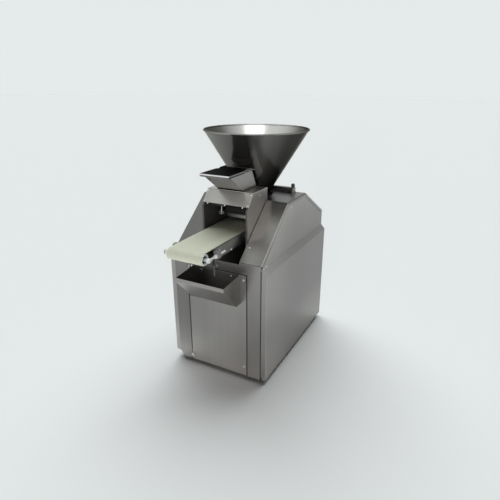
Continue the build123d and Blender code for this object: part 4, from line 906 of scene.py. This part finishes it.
# Painted shade: these black strips stand in for the shade in the seams beside the door.
corner_seam_shade = seam_shade_strip("corner_seam_shade", left=0.2945, right=0.3004, low=0.030, high=0.760)
hinge_seam_shade = seam_shade_strip("hinge_seam_shade", left=-0.2085, right=-0.2036, low=0.105, high=0.655)
dress(joined([corner_seam_shade, hinge_seam_shade], "casing_seam_shades"), black_rubber, "cabinet")

# %% [markdown]
# ## Rubber strip under the hopper's arm
#
# The dough hopper swings on an arm about its post, and the arm passes close over the top cover. A black
# rubber strip under the arm fills the gap to the cover and stands in for the shade there. It is a bar with
# bevelled edges that leaves only a small gap to the cover. The strip turns with the arm while the post stands
# still, so its end could simply stop short, but light would show there. Instead, a cylinder a little wider
# than the post hollows it out.

# %% Strip under the arm
STRIP_DEPTH, STRIP_INSET, STRIP_LAP, STRIP_EDGE = 0.0205, 0.002, 0.0002, 0.0015
COVER_GAP, POST_GAP, INTO_POST = 0.0018, 0.0005, 0.010
arm_low, arm_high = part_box("hopper_arm")
post_low, post_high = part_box("hopper_post")
cover_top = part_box("top_cover")[1][2]
post_x, post_y = (post_low[0] + post_high[0]) / 2, (post_low[1] + post_high[1]) / 2
post_radius = (post_high[0] - post_low[0]) / 2
strip_left, strip_right = arm_low[0] + STRIP_INSET, post_x - INTO_POST
strip_low, strip_high = cover_top + COVER_GAP, arm_low[2] + STRIP_LAP
# Painted shade: the black strip stands in for the shade under the arm.
strip = start("cube", "arm_shade_strip", size=1,
              scale=(strip_right - strip_left, STRIP_DEPTH, strip_high - strip_low),
              location=((strip_left + strip_right) / 2, (arm_low[1] + arm_high[1]) / 2,
                        (strip_low + strip_high) / 2))
soften(STRIP_EDGE)
close(strip)
cutter = start("cylinder", "cutter", vertices=64, radius=post_radius + POST_GAP, depth=0.05,
               location=(post_x, post_y, cover_top))
cut_by(strip, close(cutter))
dress(strip, black_rubber, "dough_hopper")

# %% [markdown]
# ## Hand wheel of the weight spindle
#
# The baker sets the dough weight by a small wheel under the head. CAD gives it a star of five lobes; the rim
# round the lobes is added here. A torus primitive would do, but turning a small circle round the spindle
# shows how any rim section could be made.

# %% Wheel rim
RIM_RADIUS, RIM_SECTION, RIM_HIGH = 0.0192, 0.0028, 0.007
SECTION_SIDES, RIM_SIDES = 12, 40
spindle_low, spindle_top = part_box("weight_spindle")
wheel_middle = [(a + b) / 2 for a, b in zip(spindle_low, spindle_top)]
wheel_middle[2] = spindle_low[2] + RIM_HIGH
section_turns = [2 * pi * i / SECTION_SIDES for i in range(SECTION_SIDES + 1)]
section = [(RIM_SECTION * sin(turn), RIM_RADIUS + RIM_SECTION * cos(turn)) for turn in section_turns]
wheel = turned("weight_wheel_rim", section, wheel_middle, UP, RIGHT, steps=RIM_SIDES)
dress(wheel, bright, "weight_spindle")

# %% [markdown]
# ## The drive motor
#
# Behind the door sits a standard foot-mounted motor: a ribbed shell, an end shield, a fan cowl with ring
# grooves, a cast foot and a terminal box. The shell, shield and cowl are one turned outline. One rib is a
# cube with a narrowed crest, copied round the shell except where the foot and the box are. All parts are
# joined at the end, because the real motor is bolted in as one piece.

# %% Turned shell
SHAFT_HIGH, SHELL = 0.122, 0.066
BORE, BORE_DEEP = 0.0128, 0.050
BOSS, BOSS_FOOT, BOSS_LONG = 0.032, 0.036, 0.007
SHIELD, SHIELD_FACE, SHIELD_BACK = 0.0745, 0.010, 0.026
COWL, COWL_LONG = 0.0735, 0.052
COWL_CORNER = [(0.008, COWL), (0.002, 0.070), (0, 0.062)]
GROOVES, GROOVE_FIRST, GROOVE_STEP, GROOVE_WIDE, GROOVE_DEEP = 4, 0.056, 0.010, 0.004, 0.005
motor_low, motor_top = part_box("motor")
motor_left, motor_right = motor_low[0], motor_top[0]
MOTOR = Vector((0, (motor_low[1] + motor_top[1]) / 2, SHAFT_HIGH))
drive_end = [(BORE_DEEP, 0), (BORE_DEEP, BORE), (0, BORE), (0, BOSS), (BOSS_LONG, BOSS_FOOT),
             (SHIELD_FACE, SHELL), (SHIELD_FACE, SHIELD), (SHIELD_BACK, SHIELD), (SHIELD_BACK, SHELL)]
fan_end = [(COWL_LONG, SHELL), (COWL_LONG, COWL), *COWL_CORNER]
for groove in range(GROOVES):
    outer = GROOVE_FIRST - groove * GROOVE_STEP
    inner = outer - GROOVE_WIDE
    fan_end += [(0, outer), (GROOVE_DEEP, outer), (GROOVE_DEEP, inner), (0, inner)]
fan_end += [(0, 0)]
shell_outline = [(motor_right - a, r) for a, r in drive_end] + [(motor_left + a, r) for a, r in fan_end]
shell = turned("motor_shell", shell_outline, MOTOR, RIGHT, UP, steps=64)
print("shell faces:", len(shell.data.polygons))

# %% Ribs
RIBS, RIB_HIGH, RIB_THICK, RIB_ROOT, RIB_CREST = 36, 0.0085, 0.0026, 0.0655, 0.5
RIB_SECTORS = ((0.16 * pi, 0.78 * pi), (1.22 * pi, 1.84 * pi))
rib_left, rib_right = motor_left + COWL_LONG, motor_right - SHIELD_BACK
rib = start("cube", "rib", size=1, scale=(rib_right - rib_left, RIB_THICK, RIB_HIGH),
            location=((rib_left + rib_right) / 2, MOTOR.y, MOTOR.z + RIB_ROOT + RIB_HIGH / 2))
pick_faces(rib, facing(UP))
bpy.ops.transform.resize(value=(1, RIB_CREST, 1))
close(rib)
motor_pieces = [shell]
for i in range(RIBS):
    turn = 2 * pi * i / RIBS
    if any(first < turn < last for first, last in RIB_SECTORS):
        about = Matrix.Translation(MOTOR) @ Matrix.Rotation(turn, 4, "X") @ Matrix.Translation(-MOTOR)
        motor_pieces.append(copy_of(rib, about))
bpy.data.objects.remove(rib)
print("ribs:", len(motor_pieces) - 1)

# %% Foot and terminal box
FOOT_SIZE, FOOT_X, FOOT_Z = (0.154, 0.120, 0.055), -0.007, 0.0645
FOOT_WALL, FOOT_HOLLOW, FOOT_EDGE = 0.010, 0.030, 0.002
BOX_SIZE, BOX_Z, BOX_EDGE = (0.080, 0.080, 0.060), 0.202, 0.0012
BOX_LID, BOX_GROOVE = 0.0035, 0.0015
foot = start("cube", "foot", size=1, scale=FOOT_SIZE, location=(FOOT_X, MOTOR.y, FOOT_Z))
pick_faces(foot, lambda place, normal: abs(normal.x) > SQUARE_ON)
bpy.ops.mesh.inset(thickness=FOOT_WALL, depth=-FOOT_HOLLOW, use_individual=True)
bpy.ops.mesh.select_all(action="SELECT")
soften(FOOT_EDGE)
motor_pieces.append(close(foot))

box = start("cube", "terminal_box", size=1, scale=BOX_SIZE, location=(0, MOTOR.y, BOX_Z))
pick_faces(box, facing(UP))
bpy.ops.mesh.inset(thickness=BOX_LID, depth=-BOX_GROOVE)
bpy.ops.mesh.inset(thickness=BOX_GROOVE, depth=BOX_GROOVE)
bpy.ops.mesh.select_all(action="SELECT")
soften(BOX_EDGE)
motor_pieces.append(close(box))
motor = joined(motor_pieces, "ribbed_motor")
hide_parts("motor")
dress(motor, motor_paint, "cabinet")

# %% [markdown]
# ## Floor, light and camera
#
# The machine stands on a wide pale floor, and the world behind it has the same tone, so no horizon shows.
# One soft panel high in front gives the polished steel its highlight. Two broad lights do the rest: one from
# above throws the soft shadow, and a weak low one lights the front. A very weak lamp inside the casing stands
# for the light that strays in through its openings. The camera stands where the photo was taken from.

# %% Floor
FLOOR_SIZE, FLOOR_TONE = 120, (0.870, 0.870, 0.870, 1)
bpy.ops.object.select_all(action="DESELECT")
bpy.ops.mesh.primitive_plane_add(size=FLOOR_SIZE)
floor = bpy.context.object
floor.name = "pale_floor"
floor_finish = new_finish("pale_floor", Base_Color=FLOOR_TONE, Roughness=0.9, Specular_IOR_Level=0.1)[0]
floor.data.materials.append(floor_finish)
print("floor laid:", FLOOR_SIZE, "m wide")

# %% World
AMBIENT, BACKDROP = (0.106, 0.098, 0.092), (0.783, 0.825, 0.825)
scene = bpy.context.scene
scene.view_settings.view_transform = "Standard"
scene.world = bpy.data.worlds.new("soft_studio")
scene.world.use_nodes = True
sky = Wire(scene.world.node_tree)
rays = sky.node("ShaderNodeLightPath").socket.node.outputs
camera_ray, glossy_ray, transmission_ray = (
    Wire(sky.tree, rays[kind]) for kind in ("Is Camera Ray", "Is Glossy Ray", "Is Transmission Ray"))
direct = sky.maths("MINIMUM", camera_ray + glossy_ray + transmission_ray, 1.0)
plug(tint(sky, direct, AMBIENT, BACKDROP), scene.world.node_tree.nodes["Background"], "Color")
print("world:", scene.world.name)

# %% Lamps and camera
HOPPER_HEART = Vector((0, HOPPER_Y, 1.4))


def new_lamp(name, kind, power, **settings):
    light = bpy.data.lights.new(name, kind)
    light.energy = power
    for key, value in settings.items():
        setattr(light, key, value)
    lamp = bpy.data.objects.new(name, light)
    scene.collection.objects.link(lamp)
    return lamp


def lamp_place(left, high, far):
    """A place seen from the hopper: degrees to the left of straight ahead, degrees up, and metres away."""
    left, high = radians(left), radians(high)
    return Vector((-sin(left) * cos(high), -cos(left) * cos(high), sin(high))) * far + HOPPER_HEART


def broad_light(name, power, colour, angle, turn):
    """Light from a wide part of the room. It lights the belt, paint and floor, but no steel mirrors it."""
    lamp = new_lamp(name, "SUN", power * pi, color=colour, angle=radians(angle))
    lamp.rotation_euler = [radians(a) for a in turn]
    lamp.visible_glossy = False


panel = new_lamp("key_panel", "AREA", power=85, shape="RECTANGLE", size=4.2, size_y=3.0)
panel.location = lamp_place(left=-34, high=56, far=7.0)
panel.rotation_euler = (HOPPER_HEART - panel.location).to_track_quat("-Z", "Y").to_euler()
panel.visible_diffuse = False
broad_light("overhead_light", power=0.988, colour=(0.930, 0.990, 0.996), angle=70, turn=(-29, -17, 0))
broad_light("front_fill", power=0.43, colour=(1, 1, 1), angle=8, turn=(88.6, 0, 12))

camera = bpy.data.objects.new("camera", bpy.data.cameras.new("camera"))
scene.collection.objects.link(camera)
camera.location = (1.2856, -2.35175, 1.7475)
camera.rotation_euler = (radians(68.96), 0, radians(27.92))
camera.data.lens = 31.38
camera.data.sensor_width = 36
scene.camera = camera
print("lamps and camera ready")

# %% Weak light inside the casing
glow = new_lamp("inner_glow", "POINT", power=0.42, shadow_soft_size=0.08)
glow.location = (0, -0.20, 0.62)
glow.visible_camera = False
print("light inside the casing:", glow.data.energy, "W")
